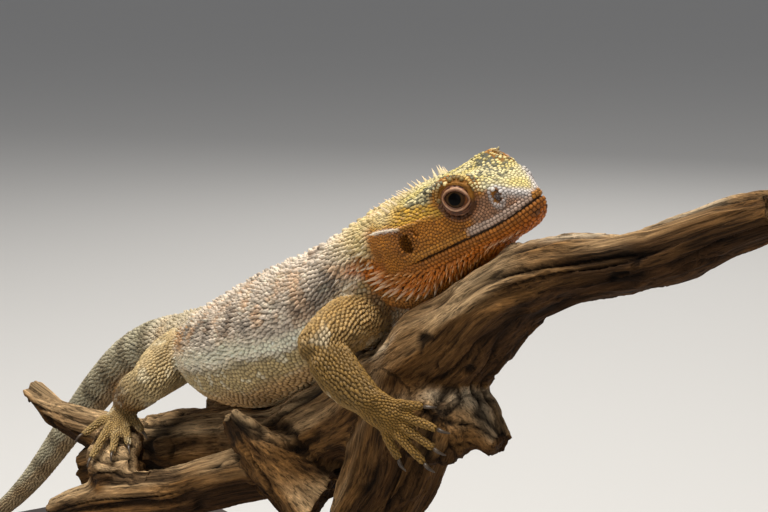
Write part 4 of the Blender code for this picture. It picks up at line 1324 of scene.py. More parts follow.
class Coat:
    """Scales over the hide: a root for each, spread evenly, and a low keeled tile that fills its cell."""

    SEED = 20
    CORNERS = 8
    NEAR = 9
    ROUNDS = 14
    CLEAR = 0.72
    GAP = 0.95
    SINK = 0.30
    PATCH = 0.0015
    LIP_BEND = 0.28
    LIP_ROWS = ((0.95, 1.15), (2.0, 1.15), (-0.95, 1.2), (-2.05, 1.25), (-3.2, 1.3))
    EYE_RINGS = ((6.1, 0.85), (6.9, 0.90), (7.75, 0.95), (8.7, 1.0))

    def __init__(self, hide: Hide, markings: Markings, unwrap: Unwrap) -> None:
        """Sows the roots over the skin."""
        self.hide, self.form, self.markings, self.unwrap = hide, hide.form, markings, unwrap
        self.rng = np.random.default_rng(self.SEED)
        self.roots, self.spots = self.sow()

    def blocked(self, spots: Spots) -> Array:
        """Places with no scales: under the eyelids, in the ears, nostrils and the mouth's line."""
        form = self.form
        p = spots.folded
        mouth = (np.abs(form.lip_offset(p)) < 0.34) & (p[:, 0] > 6) & (p[:, 2] < 8)
        holes = (form.from_nostril(p) < 1.55) | (form.ear_depth(p) > 0.10) | (form.lid_zone(p) > 0.5)
        return (spots.share(Part.HEAD) > 0.5) & (mouth | holes)

    def lip_rows(self) -> Array:
        """Even rows of roots along both lips."""
        hide, form, head = self.hide, self.form, self.hide.anatomy.head
        t = np.linspace(-1, 1, 321)
        start = 33.0 - np.maximum(np.abs(t) - self.LIP_BEND, 0) * 37.0
        turn = np.minimum(np.abs(t) / self.LIP_BEND, 1) * math.pi / 2
        way = columns(np.cos(turn), np.sin(turn) * np.sign(t), 0.0 * t)
        rows = []
        for offset, pitch in self.LIP_ROWS:
            found = []
            for x, d in zip(start, way):
                z = form.mouth.height(min(x + 7.0 * d[0], 41.5)) + offset
                hit = hide.tree.ray_cast(Vector(head.world(np.array([x, 0.0, z]))), Vector(head.turn @ d))[0]
                if hit is not None:
                    local = head.local(np.array(hit))
                    local[2] = form.mouth.height(local[0]) + offset
                    found.append(hide.onto(head.world(local)[None])[0][0])
            line = np.array(found)
            rows.append(places_along(line, np.arange(0.5 * pitch, lengths_along(line)[-1], pitch)))
        return np.concatenate(rows)

    def eye_rings(self) -> Array:
        """Even rings of small roots round each eye."""
        hide, form, head = self.hide, self.form, self.hide.anatomy.head
        found = []
        for _, side in SIDES:
            gaze = form.gaze * (1, side, 1)
            u = unit(np.cross(gaze, (0.0, 0.0, 1.0)))
            v = np.cross(u, gaze)
            for radius, pitch in self.EYE_RINGS:
                count = int(TURN * radius / pitch)
                for k in range(count):
                    a = TURN * (k + 0.5 * (radius > 6.5)) / count
                    above = form.eye * (1, side, 1) + radius * (math.cos(a) * u + math.sin(a) * v) + 9 * gaze
                    hit = hide.tree.ray_cast(Vector(head.world(above)), Vector(head.turn @ -gaze), 12.0)[0]
                    if hit is not None:
                        found.append(np.array(hit))
        return np.array(found)

    def sow(self) -> tuple[Array, Spots]:
        """Roots spread over the skin by the local pitch, then pushed apart until they are even."""
        hide = self.hide
        quads, *tris = hide.faces
        faces = np.concatenate([quads[:, [0, 1, 2]], quads[:, [0, 2, 3]], *tris])
        a, b, c = (hide.points[faces[:, k]] for k in range(3))
        area = 0.5 * norm(np.cross(b - a, c - a), axis=1)
        pitch = hide.spots.pitch[faces].mean(1)
        load = area / (0.866 * pitch**2)
        total = int(load.sum())
        around = np.round(np.arctan2(a[:, 1], a[:, 2] - 90.0), 2)
        order = np.argsort(np.round(a[:, 0] / 2.0) * 1e6 + around * 1e3, kind="stable")
        edges = np.cumsum(load[order])
        picks = order[np.searchsorted(edges, (np.arange(total) + self.rng.random(total)) * edges[-1] / total)]
        r = np.sqrt(self.rng.random(total))
        t = self.rng.random(total)
        roots = a[picks] * (1 - r)[:, None] + b[picks] * (r * (1 - t))[:, None] + c[picks] * (r * t)[:, None]
        fixed = np.concatenate([self.lip_rows(), self.eye_rings()])
        tree = index_of(fixed)
        for k in range(self.ROUNDS):
            if k in (0, self.ROUNDS - 2):
                pitch_at = hide.spots.pitch[hide.onto(roots)[2]]
                roots = roots[[tree.find(p)[2] > self.CLEAR * w for p, w in zip(roots, pitch_at)]]
            roots = self.push_apart(np.concatenate([fixed, roots]))[len(fixed) :]
        roots, _, near = hide.onto(np.concatenate([fixed, roots]))
        spots = hide.spots.pick(near, roots, hide.anatomy.head)
        keep = ~self.blocked(spots)
        return roots[keep], spots.pick(np.flatnonzero(keep))

    def neighbours(self, roots: Array) -> Array:
        """The nearest roots of each."""
        tree = index_of(roots)
        return np.array([[hit[1] for hit in tree.find_n(p, self.NEAR + 1)][1:] for p in roots])

    def push_apart(self, roots: Array) -> Array:
        """One step of evening out, back on the skin."""
        near = self.neighbours(roots)
        pitch = self.hide.spots.pitch[self.hide.onto(roots)[2]]
        away = roots[:, None] - roots[near]
        gap = norm(away, axis=2, keepdims=True)
        want = (0.5 * (pitch[:, None] + pitch[near]))[:, :, None]
        push = away / np.maximum(gap, 1e-6) * np.maximum(want * 1.12 - gap, 0)
        return self.hide.onto(roots + 0.22 * push.sum(1))[0]

    def cells(self) -> Array:
        """How far each scale reaches in each direction before it meets its neighbours'."""
        near = self.neighbours(self.roots)
        at = self.spots
        side = np.cross(at.normal, at.flow)
        away = self.roots[near] - self.roots[:, None]
        u = (away * at.flow[:, None]).sum(2)
        v = (away * side[:, None]).sum(2)
        gap = norm(away, axis=2)
        share = at.pitch[:, None] / (at.pitch[:, None] + at.pitch[near])
        turn = np.arctan2(v, u)
        reach = []
        for k in range(self.CORNERS):
            lean = np.cos(turn - TURN * k / self.CORNERS)
            reach.append(np.where(lean > 0.2, gap * share / np.maximum(lean, 0.2), 1e9).min(1))
        return np.minimum(columns(*reach), self.CLEAR * at.pitch[:, None])

    def style(self) -> ScaleStyle:
        """The shape of each scale, by where it is."""
        at = self.spots
        p = at.folded
        head = at.share(Part.HEAD)
        lips = self.form.lip_offset(p)
        beard = self.markings.beard_share(at)
        crown = head * ramp(p[:, 2], 11.5, 13)
        snout = head * ramp(p[:, 0], 24, 27) * ramp(lips, 2.4, 3.2) * ramp(p[:, 2], 12.8, 11.6)
        temple = head * ramp(p[:, 2], 8.5, 10) * ramp(p[:, 0], 19, 14)
        turn = np.degrees(np.abs(at.angle))
        back = at.share(Part.NECK, Part.TRUNK) * ramp(turn, 104, 86)
        tail, limb = at.share(Part.TAIL), 1.0 - at.share(Part.HEAD, Part.NECK, Part.TRUNK, Part.TAIL)
        paw = at.share(*HANDS, *FEET)
        big = (self.rng.random(len(self.roots)) > 0.86) * back
        height = 0.27 + 0.03 * crown + 0.20 * beard + 0.16 * back + 0.4 * big + 0.12 * tail + 0.06 * limb
        height = height - 0.17 * snout - 0.06 * paw - 0.12 * self.markings.pouch_share(at)
        overlap = 0.10 + 2.00 * beard + 0.75 * back + 0.80 * tail + 0.75 * limb - 0.35 * paw
        overlap = overlap + 0.35 * big + 0.5 * temple
        lift = 0.05 + 0.85 * beard + 0.32 * back + 0.28 * tail + 0.24 * limb + 0.35 * big + 0.15 * temple
        keel = 0.05 + 0.30 * beard + 0.28 * back + 0.34 * tail + 0.24 * limb + 0.25 * big - 0.04 * snout
        point = 0.05 + 0.90 * beard + 0.75 * back + 0.75 * tail + 0.70 * limb + 0.5 * temple
        size = at.pitch / 1.6
        return ScaleStyle(height * size, overlap, lift * size, keel * size, point)

    def build(self) -> list[Piece]:
        """All the pieces of the coat."""
        reach, style, at = self.cells(), self.style(), self.spots
        p = at.folded
        crown = at.share(Part.HEAD) * ramp(p[:, 2], 12.8, 14.2) * ramp(p[:, 0], -2, 3)
        tops = self.markings.paint(at)
        dark = crown * (self.rng.random(len(tops)) < 0.16)
        tops = blend(tops, Markings.CROWN_SPOT, 0.85 * dark)
        jitter = 1.0 + 0.13 * self.rng.standard_normal(len(tops))
        tops = np.clip(tops * jitter[:, None], 0, 1)
        part, angle = at.weights.argmax(1), np.degrees(at.angle)
        head, trunk = part == Part.HEAD.value, part == Part.TRUNK.value
        high = at.local[:, 2] > 9.5
        above_lips = self.form.lip_offset(at.local) > 0
        masks = {
            "crown": head & high,
            "cheeks": head & ~high & above_lips,
            "beard": head & ~high & ~above_lips,
            "neck": part == Part.NECK.value,
            "back_right": trunk & (angle < 0) & (angle > -88),
            "back_left": trunk & (angle >= 0) & (angle < 88),
            "flank_right": trunk & (angle <= -88),
            "flank_left": trunk & (angle >= 88),
            "tail": part == Part.TAIL.value,
        }
        for limb, paw, *_ in LIMBS:
            masks[limb.name.lower()] = (part == limb.value) | (part == paw.value)
        plan = self.unwrap.at(at)
        rows = {f"coat_{word}": np.flatnonzero(mask) for word, mask in masks.items()}
        return [self.tiles(name, mine, reach, style, tops, plan) for name, mine in rows.items() if len(mine)]

    def tiles(
        self, name: str, rows: Array, reach: Array, style: ScaleStyle, tops: Array, plan: Array
    ) -> Piece:
        """One piece of the coat.

        Args:
            name: the piece's name.
            rows: which scales it holds.
            reach: each scale's outline.
            style: each scale's shape.
            tops: each scale's colour.
            plan: each scale's place on the plan.

        Returns:
            The piece, with its tint and its plan for the bake.
        """
        at = self.spots.pick(rows)
        m = self.CORNERS
        turn = TURN * np.arange(m) / m
        cos, sin = np.cos(turn), np.sin(turn)
        h, over, lift, keel, point = (v[rows][:, None] for v in vars(style).values())
        crown = at.share(Part.HEAD) * ramp(at.local[:, 2], 13, 14.5)
        r = reach[rows] * (self.GAP - 0.22 * self.markings.beard_share(at) - 0.07 * crown)[:, None]
        pitch = at.pitch[:, None]
        behind = np.maximum(cos, 0)[None]
        rings = []
        for share, rise in ((1.0, None), (0.84, 0.62), (0.42, 1.0)):
            x = r * share * cos + over * pitch * behind ** (1.5 + 1.5 * point) * share * 0.6
            y = r * share * sin * (1.0 - point * behind * 0.65)
            if rise is None:
                z = lift * behind * 0.25 - self.SINK
            else:
                ridge = keel * np.abs(cos)[None] ** 6
                z = h * rise + (ridge * (0.6 if share > 0.5 else 1.0)) + lift * behind * share
            rings.append((x, y, z))
        rings.append((0.12 * pitch + over * pitch * 0.2, 0.0 * pitch, h * 1.08 + keel + lift * 0.15))
        x, y, z = (np.concatenate(values, axis=1) for values in zip(*rings))
        axes = ((x, at.flow), (y, np.cross(at.normal, at.flow)), (z, at.normal))
        points = at.place[:, None]
        for distance, axis in axes:
            points = points + distance[..., None] * axis[:, None]
        piece = write_mesh(name, points.reshape(-1, 3), ringed_faces(len(rows), 3, m))
        own = tops[rows][:, None]
        # Each scale is painted at 0.40 of its colour round its foot, rising to 1.10 at its top: painted shade
        # where it meets the skin and its neighbours, and a faint painted highlight on its top.
        colour = own * np.repeat([0.40, 0.86, 1.04, 1.10], [m, m, m, 1])[None, :, None]
        back = behind[0]
        end = np.concatenate([0.6 * back**4, back**4, 0.35 * back**2, [0.12]])[None, :, None]
        beard = self.markings.beard_share(at)[:, None, None]
        tip = Markings.BEARD_TIP * beard + np.minimum(own * 1.45 + 0.02, 0.85) * (1.0 - beard)
        end = end * (0.35 * point[..., None] + 0.25 * beard)
        set_tint(piece, (colour + (tip - colour) * end).reshape(-1, 3))
        scale = self.PATCH / np.maximum(np.abs(x), np.abs(y)).max(1)[:, None]
        set_plan(piece, (plan[rows][:, None] + np.stack([x * scale, y * scale], axis=2)).reshape(-1, 2))
        return piece


def set_plan(piece: Piece, uv: Array) -> None:
    """Stores the plan for the bake, a pair for each point, on the piece's corners."""
    layer = piece.data.uv_layers.new(name="OFBake")
    layer.data.foreach_set("uv", packed(uv[loops_of(piece.data)]))


@dataclass
class SpineSet:
    """Spines that share a look: roots, directions, lengths and thicknesses, and two colours each."""

    name: str
    roots: list[Array] = field(default_factory=list)
    ways: list[Array] = field(default_factory=list)
    lengths: list[float] = field(default_factory=list)
    widths: list[float] = field(default_factory=list)
    base: list[Array] = field(default_factory=list)
    tip: list[Array] = field(default_factory=list)

    CORNERS = 7
    PATCH = 0.0015
    STATIONS = ((-0.16, 1.0), (0.12, 0.94), (0.42, 0.62), (0.74, 0.28))

    def add(self, root: Array, way: Array, length: float, width: float, base: Array, tip: Array) -> None:
        """One more spine."""
        stores = (self.roots, self.ways, self.lengths, self.widths, self.base, self.tip)
        for store, value in zip(stores, (root, way, length, width, base, tip)):
            store.append(value)

    def build(self, hide: Hide, unwrap: Unwrap) -> Piece:
        """The piece: tapered, slightly hooked spines, closed at the root."""
        ways = unit(np.array(self.ways))
        length, width = np.array(self.lengths)[:, None], np.array(self.widths)[:, None, None]
        place, normal, near = hide.onto(np.array(self.roots))
        side = unit(np.cross(normal, ways))
        over = np.cross(ways, side)
        m, rings = self.CORNERS, len(self.STATIONS)
        turn = (TURN * np.arange(m) / m)[None, :, None]
        ring = np.cos(turn) * side[:, None] + 0.72 * np.sin(turn) * over[:, None]
        points = []
        for t, share in self.STATIONS:
            middle = place + ways * length * t - over * (length * 0.10 * t * t)
            points.append(middle[:, None] + width * share * ring)
        end = place + ways * length - over * (length * 0.10)
        points = np.concatenate([*points, end[:, None]], axis=1)
        piece = write_mesh(self.name, points.reshape(-1, 3), ringed_faces(len(place), rings, m))
        counts = [m] * rings + [1]
        share = np.repeat([0.0, 0.06, 0.36, 0.92, 1.0], counts)[None, :, None]
        # The root ring of each spine is painted at 0.45 of its colour: painted shade where the spine meets
        # the skin.
        tone = np.repeat([0.45, 1.0, 1.0, 1.0, 1.0], counts)[None, :, None]
        low, high = np.array(self.base)[:, None], np.array(self.tip)[:, None]
        set_tint(piece, ((low + (high - low) * share) * tone).reshape(-1, 3))
        plan = unwrap.at(hide.spots.pick(near, place, hide.anatomy.head))
        spread = np.linspace(-1, 1, rings * m + 1)
        uv = plan[:, None] + self.PATCH * columns(spread, np.cos(spread * 9.0))[None]
        set_plan(piece, uv.reshape(-1, 2))
        return piece


@dataclass
class SpineRow:
    """A row of spines along a line of the head, given for the left side in the head's frame."""

    line: list[Place]
    count: int
    length: tuple[float, float]
    width: float
    pale: float
    way: Place | None = None
    waver: float = 0.22


class Spines:
    """The spines of head, neck and flanks."""

    IVORY = srgb(240, 226, 196)
    NECK_WAY = (-1, 0.30, 0)
    HEAD_ROWS = [SpineRow(*row) for row in (
        ([(-15.3, 17.5, -2.7), (-11.5, 16.9, -5.5), (-7.7, 17.5, -7.5), (-4.8, 17.4, -8.4),
          (-1.5, 16.6, -9.4), (2, 15.2, -10.2), (6, 13.2, -10.4)], 10, (6.8, 4.6), 0.70, 0.84),
        ([(-12.5, 17.4, -1.6), (-7.5, 17.9, -4.6), (-3, 17.6, -6.8), (2, 16.6, -7.8), (7, 14.8, -7.9),
          (12, 12.3, -7.6)], 12, (5.2, 3.6), 0.58, 0.55),
        ([(-9, 17.9, -1.8), (-3.5, 18.1, -4.2), (1.5, 17.6, -5.6), (6.5, 16, -6.2), (12, 13.4, -5.6),
          (18, 10.8, -5)], 14, (4, 2.8), 0.50, 0.35),
        ([(-2, 18.2, -2.6), (3, 17.7, -4), (9, 15.4, -4.4), (15, 12.9, -3.9), (22, 10.5, -2.6)],
         14, (2.9, 2.2), 0.44, 0.25),
        ([(9, 11.6, -9.8), (15, 10, -7.6), (21, 8.8, -5.6), (27, 7.6, -3.4)], 12, (2.7, 2.2), 0.44, 0.30),
        ([(25, 9.6, -2.4), (30, 7.8, -1.4), (35, 5.4, -0.4)], 6, (2, 1.7), 0.5, 0.30),
        ([(36, 5, -0.8), (31, 7.4, -2.2), (26, 9.2, -3.4)], 7, (2.6, 3), 0.55, 0.55, (-0.3, 0.85, -0.3)),
        ([(-12, 17.6, -0.2), (-19, 18.8, -0.8)], 3, (5, 5.2), 0.55, 1, NECK_WAY),
        ([(-15.5, 17.4, 4.2), (-22, 18.9, 3.6)], 4, (4.8, 5.2), 0.58, 1, NECK_WAY),
        ([(-16.5, 17.2, 6.4), (-22.5, 18.4, 6)], 3, (4.2, 4.4), 0.52, 0.95, NECK_WAY),
        ([(-18.5, 18.8, 1.2), (-23, 19.6, 0.6)], 2, (4, 4), 0.50, 0.95, NECK_WAY),
        ([(-6, 17, 9.1), (-8, 16.7, 9)], 1, (3.6, 3.6), 0.52, 1, (-1, 0.14, 0), 0),
        ([(3.5, 17.2, 9.3), (-6, 17, 9.2)], 5, (2, 2.4), 0.44, 0.85, (-1, 0.28, 0.12), 0.08),
        ([(16, 13.5, 10.2), (4, 16.9, 9.6)], 8, (1.2, 1.7), 0.42, 0.25, (-1, 0.32, 0.20), 0.3),
        ([(13, 13.4, 12), (2, 16, 11)], 7, (1.2, 1.6), 0.42, 0.30, (-1, 0.32, 0.25), 0.4),
        ([(-3.6, 14, 12.6), (1.5, 6.6, 15.6), (3, 2, 16.4)],
         5, (3.4, 3.6), 0.60, 0.85, (-0.45, 0.30, 0.90), 0.15),
        ([(-8, 12.5, 10.5), (-5.5, 6, 14), (-5, 2, 14.6)],
         4, (2.5, 2.7), 0.52, 0.8, (-0.60, 0.25, 0.80), 0.3),
        ([(-7, 3.4, 14.5), (-24, 3.4, 12.8)], 5, (2.7, 2.7), 0.55, 0.75, (-0.7, 0.1, 0.75), 0.3),
        ([(-9, 9, 13), (-24, 9.5, 11.2)], 5, (2.2, 2.2), 0.50, 0.7, (-0.7, 0.3, 0.65), 0.4),
    )]

    def __init__(self, hide: Hide, markings: Markings) -> None:
        """Keeps what the spines grow from."""
        self.hide, self.markings = hide, markings
        self.rng = np.random.default_rng(31)

    def head(self) -> SpineSet:
        """Rows on the crown's rear edge, temples, jowls and beard, the same on both sides."""
        found = SpineSet("spines_head")
        frame_of = self.hide.anatomy.head
        for row in self.HEAD_ROWS:
            line = np.array(row.line)
            whole = lengths_along(line)[-1]
            for _, side in SIDES:
                for k in range(row.count):
                    t = (k + 0.5 + self.rng.uniform(-0.15, 0.15)) / row.count
                    middle = places_along(line, np.array([t * whole]))[0]
                    fan = beard_way(middle[None])[0] + (0.0, 0.24, 0.0)
                    middle = middle + self.rng.normal(0, row.waver, 3)
                    place, normal, near = self.hide.onto(frame_of.world(middle * (1, side, 1))[None])
                    way = frame_of.turn @ (np.array(row.way or fan) * (1, side, 1))
                    way = unit(unit(way) + 0.14 * normal[0] + self.rng.normal(0, 0.05, 3))
                    length = row.length[0] + (row.length[1] - row.length[0]) * t
                    length *= self.rng.uniform(0.88, 1.12)
                    colour = self.markings.paint(self.hide.spots.pick(near, place, frame_of))[0]
                    pale = min(row.pale + 0.30 * max(0.4 - t, 0.0) * (row.way is None), 1.0)
                    tip = Markings.BEARD_TIP + (self.IVORY - Markings.BEARD_TIP) * pale
                    base = colour + (self.IVORY - colour) * 1.6 * max(pale - 0.62, 0.0)
                    found.add(place[0], way, length, row.width, base, tip)
        return found

    def fringe(self) -> SpineSet:
        """Rows along each flank from the neck to the hips, and a scatter over the back."""
        found = SpineSet("spines_body")
        at = self.hide.spots
        body = at.share(Part.NECK, Part.TRUNK) > 0.6
        vent = self.hide.anatomy.vent_s
        centre = self.markings.fringe_angle(at.s)
        for offset, pitch, length in ((-16.0, 3.8, 1.9), (-7.0, 3.2, 2.6), (0.0, 2.9, 3.2), (6.0, 3.2, 2.4)):
            for _, side in SIDES:
                s = 6.0
                while s < vent - 6.0:
                    turn = np.degrees(at.angle) * side - centre - offset - self.rng.normal(0, 1.6)
                    score = np.abs(turn) * 0.35 + np.abs(at.s - s) + 100.0 * ~body
                    i = int(score.argmin())
                    if score[i] < 2:
                        way = unit(0.70 * at.flow[i] + 0.50 * at.normal[i] + self.rng.normal(0, 0.08, 3))
                        size = length * self.rng.uniform(0.75, 1.15) * (1.0 - 0.35 * s / vent)
                        colour = self.markings.paint(at.pick(np.array([i])))[0]
                        found.add(at.place[i], way, size, 0.24 * size, colour, self.IVORY * 0.95)
                    s += pitch * self.rng.uniform(0.8, 1.2)
        rows = np.flatnonzero(body & (np.abs(np.degrees(at.angle)) < 66))
        for i in self.rng.choice(rows, 360, replace=False):
            way = unit(0.90 * at.flow[i] + 0.35 * at.normal[i])
            size = self.rng.uniform(1.1, 1.8)
            colour = self.markings.paint(at.pick(np.array([i])))[0]
            found.add(at.place[i], way, size, 0.42, colour, colour + (self.IVORY - colour) * 0.45)
        return found


# ---- eyes


@dataclass
class Eyes:
    """Eyeballs and ringed lids."""

    hide: Hide
    radius: float = 5.2
    outer: float = 76.0
    inner: float = 37.0
    opening: tuple[float, float] = (3.20, 2.30)
    droop: float = 0.10
    tilt: float = -22.0
    almond: float = 1.7
    around: int = 96
    folds: tuple[Place, ...] = (
        (42.0, 0.44, 3.8), (52.0, 0.20, 2.4), (58.5, 0.24, 2.6), (64.5, 0.16, 2.2), (70.5, 0.26, 2.6)
    )

    PUPIL = srgb(4, 3, 3)
    IRIS = srgb(84, 56, 34)
    IRIS_GOLD = srgb(122, 86, 48)
    RIM = srgb(140, 84, 44)
    LID, LID_RIDGE, LID_EDGE = srgb(112, 66, 36), srgb(178, 128, 84), srgb(196, 152, 120)
    LID_FOLD, LID_OUTER = srgb(66, 36, 20), srgb(150, 92, 44)

    def axes(self, side: float) -> tuple[Array, Array]:
        """Middle of the eye, and columns level, upright and outward for it."""
        head = self.hide.anatomy.head
        mirror = np.array([1.0, side, 1.0])
        centre = head.world(self.hide.form.eye * mirror)
        out = unit(head.turn @ (self.hide.form.gaze * mirror))
        level = unit(np.cross(head.turn[:, 2], out)) * -side
        upright = unit(head.turn[:, 2] - out * (head.turn[:, 2] @ out))
        return centre, columns(level, upright, out)

    def ball(self, word: str, side: float) -> Piece:
        """One eyeball, painted from the pupil outwards."""
        centre, turn = self.axes(side)
        bm = bmesh.new()
        ops.create_uvsphere(bm, u_segments=96, v_segments=64, radius=self.radius * MM)
        mirror = Matrix.Scale(1.0 if np.linalg.det(turn) > 0 else -1.0, 4, (1, 0, 0))
        spin = Matrix.Translation(Vector(centre * MM)) @ Matrix(turn.tolist()).to_4x4() @ mirror
        ops.transform(bm, matrix=spin, verts=bm.verts)
        ops.recalc_face_normals(bm, faces=bm.faces)
        made = from_bmesh(f"eyeball_{word}", bm)
        local = (points_of(made.data) - centre) @ turn
        across, height = local[:, 0] + 0.15, local[:, 1] - 0.1
        off = np.where(local[:, 2] > 0, np.hypot(across / 1.06, height), 9.0)
        iris = (self.IRIS_GOLD * 0.35, ramp(off, 1.65, 1.85)), (self.IRIS * 0.55, ramp(off, 1.9, 2.3))
        rim = self.RIM, ramp(off, 2.6, 2.9) * ramp(height, 0.6, -0.4)
        # Outside the iris, and all round the back, the ball is painted black: painted shade in the gap under
        # the lids.
        set_tint(made, layered(self.PUPIL, *iris, rim, (self.PUPIL, ramp(off, 3.5, 3.8))))
        return made

    def lid_profile(self) -> list[tuple[float, float]]:
        """(polar angle in degrees, height over the eyeball in mm) from the outer ring in to the edge."""
        stops, count = [], 44
        for i in range(count + 1):
            angle = self.outer + (self.inner + 1.2 - self.outer) * i / count
            swell = sum(h * math.exp(-(((angle - f) / w) ** 2)) for f, h, w in self.folds)
            stops.append((angle, 0.16 + swell))
        return [*stops, (self.inner, 0.34), (self.inner - 0.5, 0.16), (self.inner + 1.5, -0.12)]

    def lids(self, word: str, side: float) -> Piece:
        """Both lids of one eye as a ring of folds round an almond opening."""
        centre, turn = self.axes(side)
        outline = []
        for angle, height in self.lid_profile():
            a, r = math.radians(angle), self.radius + height
            outline.append((r * math.sin(a), r * math.cos(a)))
        bm = turned(outline, self.around)
        p = np.array([v.co for v in bm.verts])
        r = norm(p, axis=1)
        polar, around = np.degrees(np.arccos(p[:, 2] / r)), np.arctan2(p[:, 1], p[:, 0])
        wide, tall = (math.degrees(math.asin(o / self.radius)) for o in self.opening)
        slanted = around - math.radians(self.tilt)
        across, up = np.abs(np.cos(slanted) / wide), np.abs(np.sin(slanted) / tall)
        slot = 1.0 / (across**self.almond + up**self.almond) ** (1 / self.almond)
        slot -= self.droop * 10.0 * np.maximum(np.sin(around), 0)
        share = np.clip((self.outer - polar) / (self.outer - self.inner), 0, 1.05)
        ring = columns(np.cos(around) * 3.0, np.sin(around) * 3.0, polar / 9.0)
        ripple = 0.16 * cloud(ring, 0.75, 7) * ramp(polar, 42, 48) * ramp(polar, 76, 72)
        a, r = np.radians(polar + (slot - self.inner) * share**1.3), r + ripple
        local = columns(r * np.sin(a) * np.cos(around), r * np.sin(a) * np.sin(around), r * np.cos(a))
        for vert, place in zip(bm.verts, (local @ turn.T + centre) * MM):
            vert.co = Vector(place)
        ops.recalc_face_normals(bm, faces=bm.faces)
        outward = sum((f.normal.dot(f.calc_center_median() - Vector(centre * MM)) for f in bm.faces), 0)
        if outward < 0:
            ops.reverse_faces(bm, faces=bm.faces)
        made = from_bmesh(f"eyelids_{word}", bm)
        height = r - self.radius
        patchy = ramp(np.abs(np.sin(slanted)) + 0.4 * cloud(ring, 1.1, 8), 0.3, 0.8)
        colour = layered(
            self.LID,
            # Lighter on the folds' crests: painted highlight.
            (self.LID_RIDGE, 0.75 * ramp(height, 0.34, 0.58)),
            # The inner rim's own pale pink, brightest where the rim stands high: partly a painted highlight.
            (self.LID_EDGE, ramp(polar, 50, 45) * (0.25 + 0.75 * patchy) * ramp(height, 0.30, 0.60)),
            # Dark in the grooves between the folds: painted shade.
            (self.LID_FOLD, ramp(height, 0.30, 0.18)),
            (self.LID_OUTER, ramp(polar, 62, 70) * ramp(height, 0.2, 0.4)),
        )
        set_tint(made, colour * (1.0 + 0.18 * cloud(local, 0.45, 5)[:, None]))
        return made


# ---- claws


@dataclass
class Claws:
    """The five claws of each hand and foot, smoothed from their solids."""

    rounds: int = 2

    def build(self, paw: str) -> Piece:
        """The claws of one hand or foot as a piece."""
        bm = bmesh.new()
        for k in range(1, 6):
            bm.from_mesh(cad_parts[f"claw_{paw}_{k}"].data)
        ops.remove_doubles(bm, verts=bm.verts, dist=1e-6)
        ops.subdivide_edges(bm, edges=bm.edges, cuts=1, use_grid_fill=True)
        for _ in range(self.rounds):
            ops.smooth_vert(
                bm, verts=bm.verts, factor=0.4, use_axis_x=True, use_axis_y=True, use_axis_z=True
            )
        ops.recalc_face_normals(bm, faces=bm.faces)
        return from_bmesh(f"claws_{paw}", bm)


# ---- driftwood


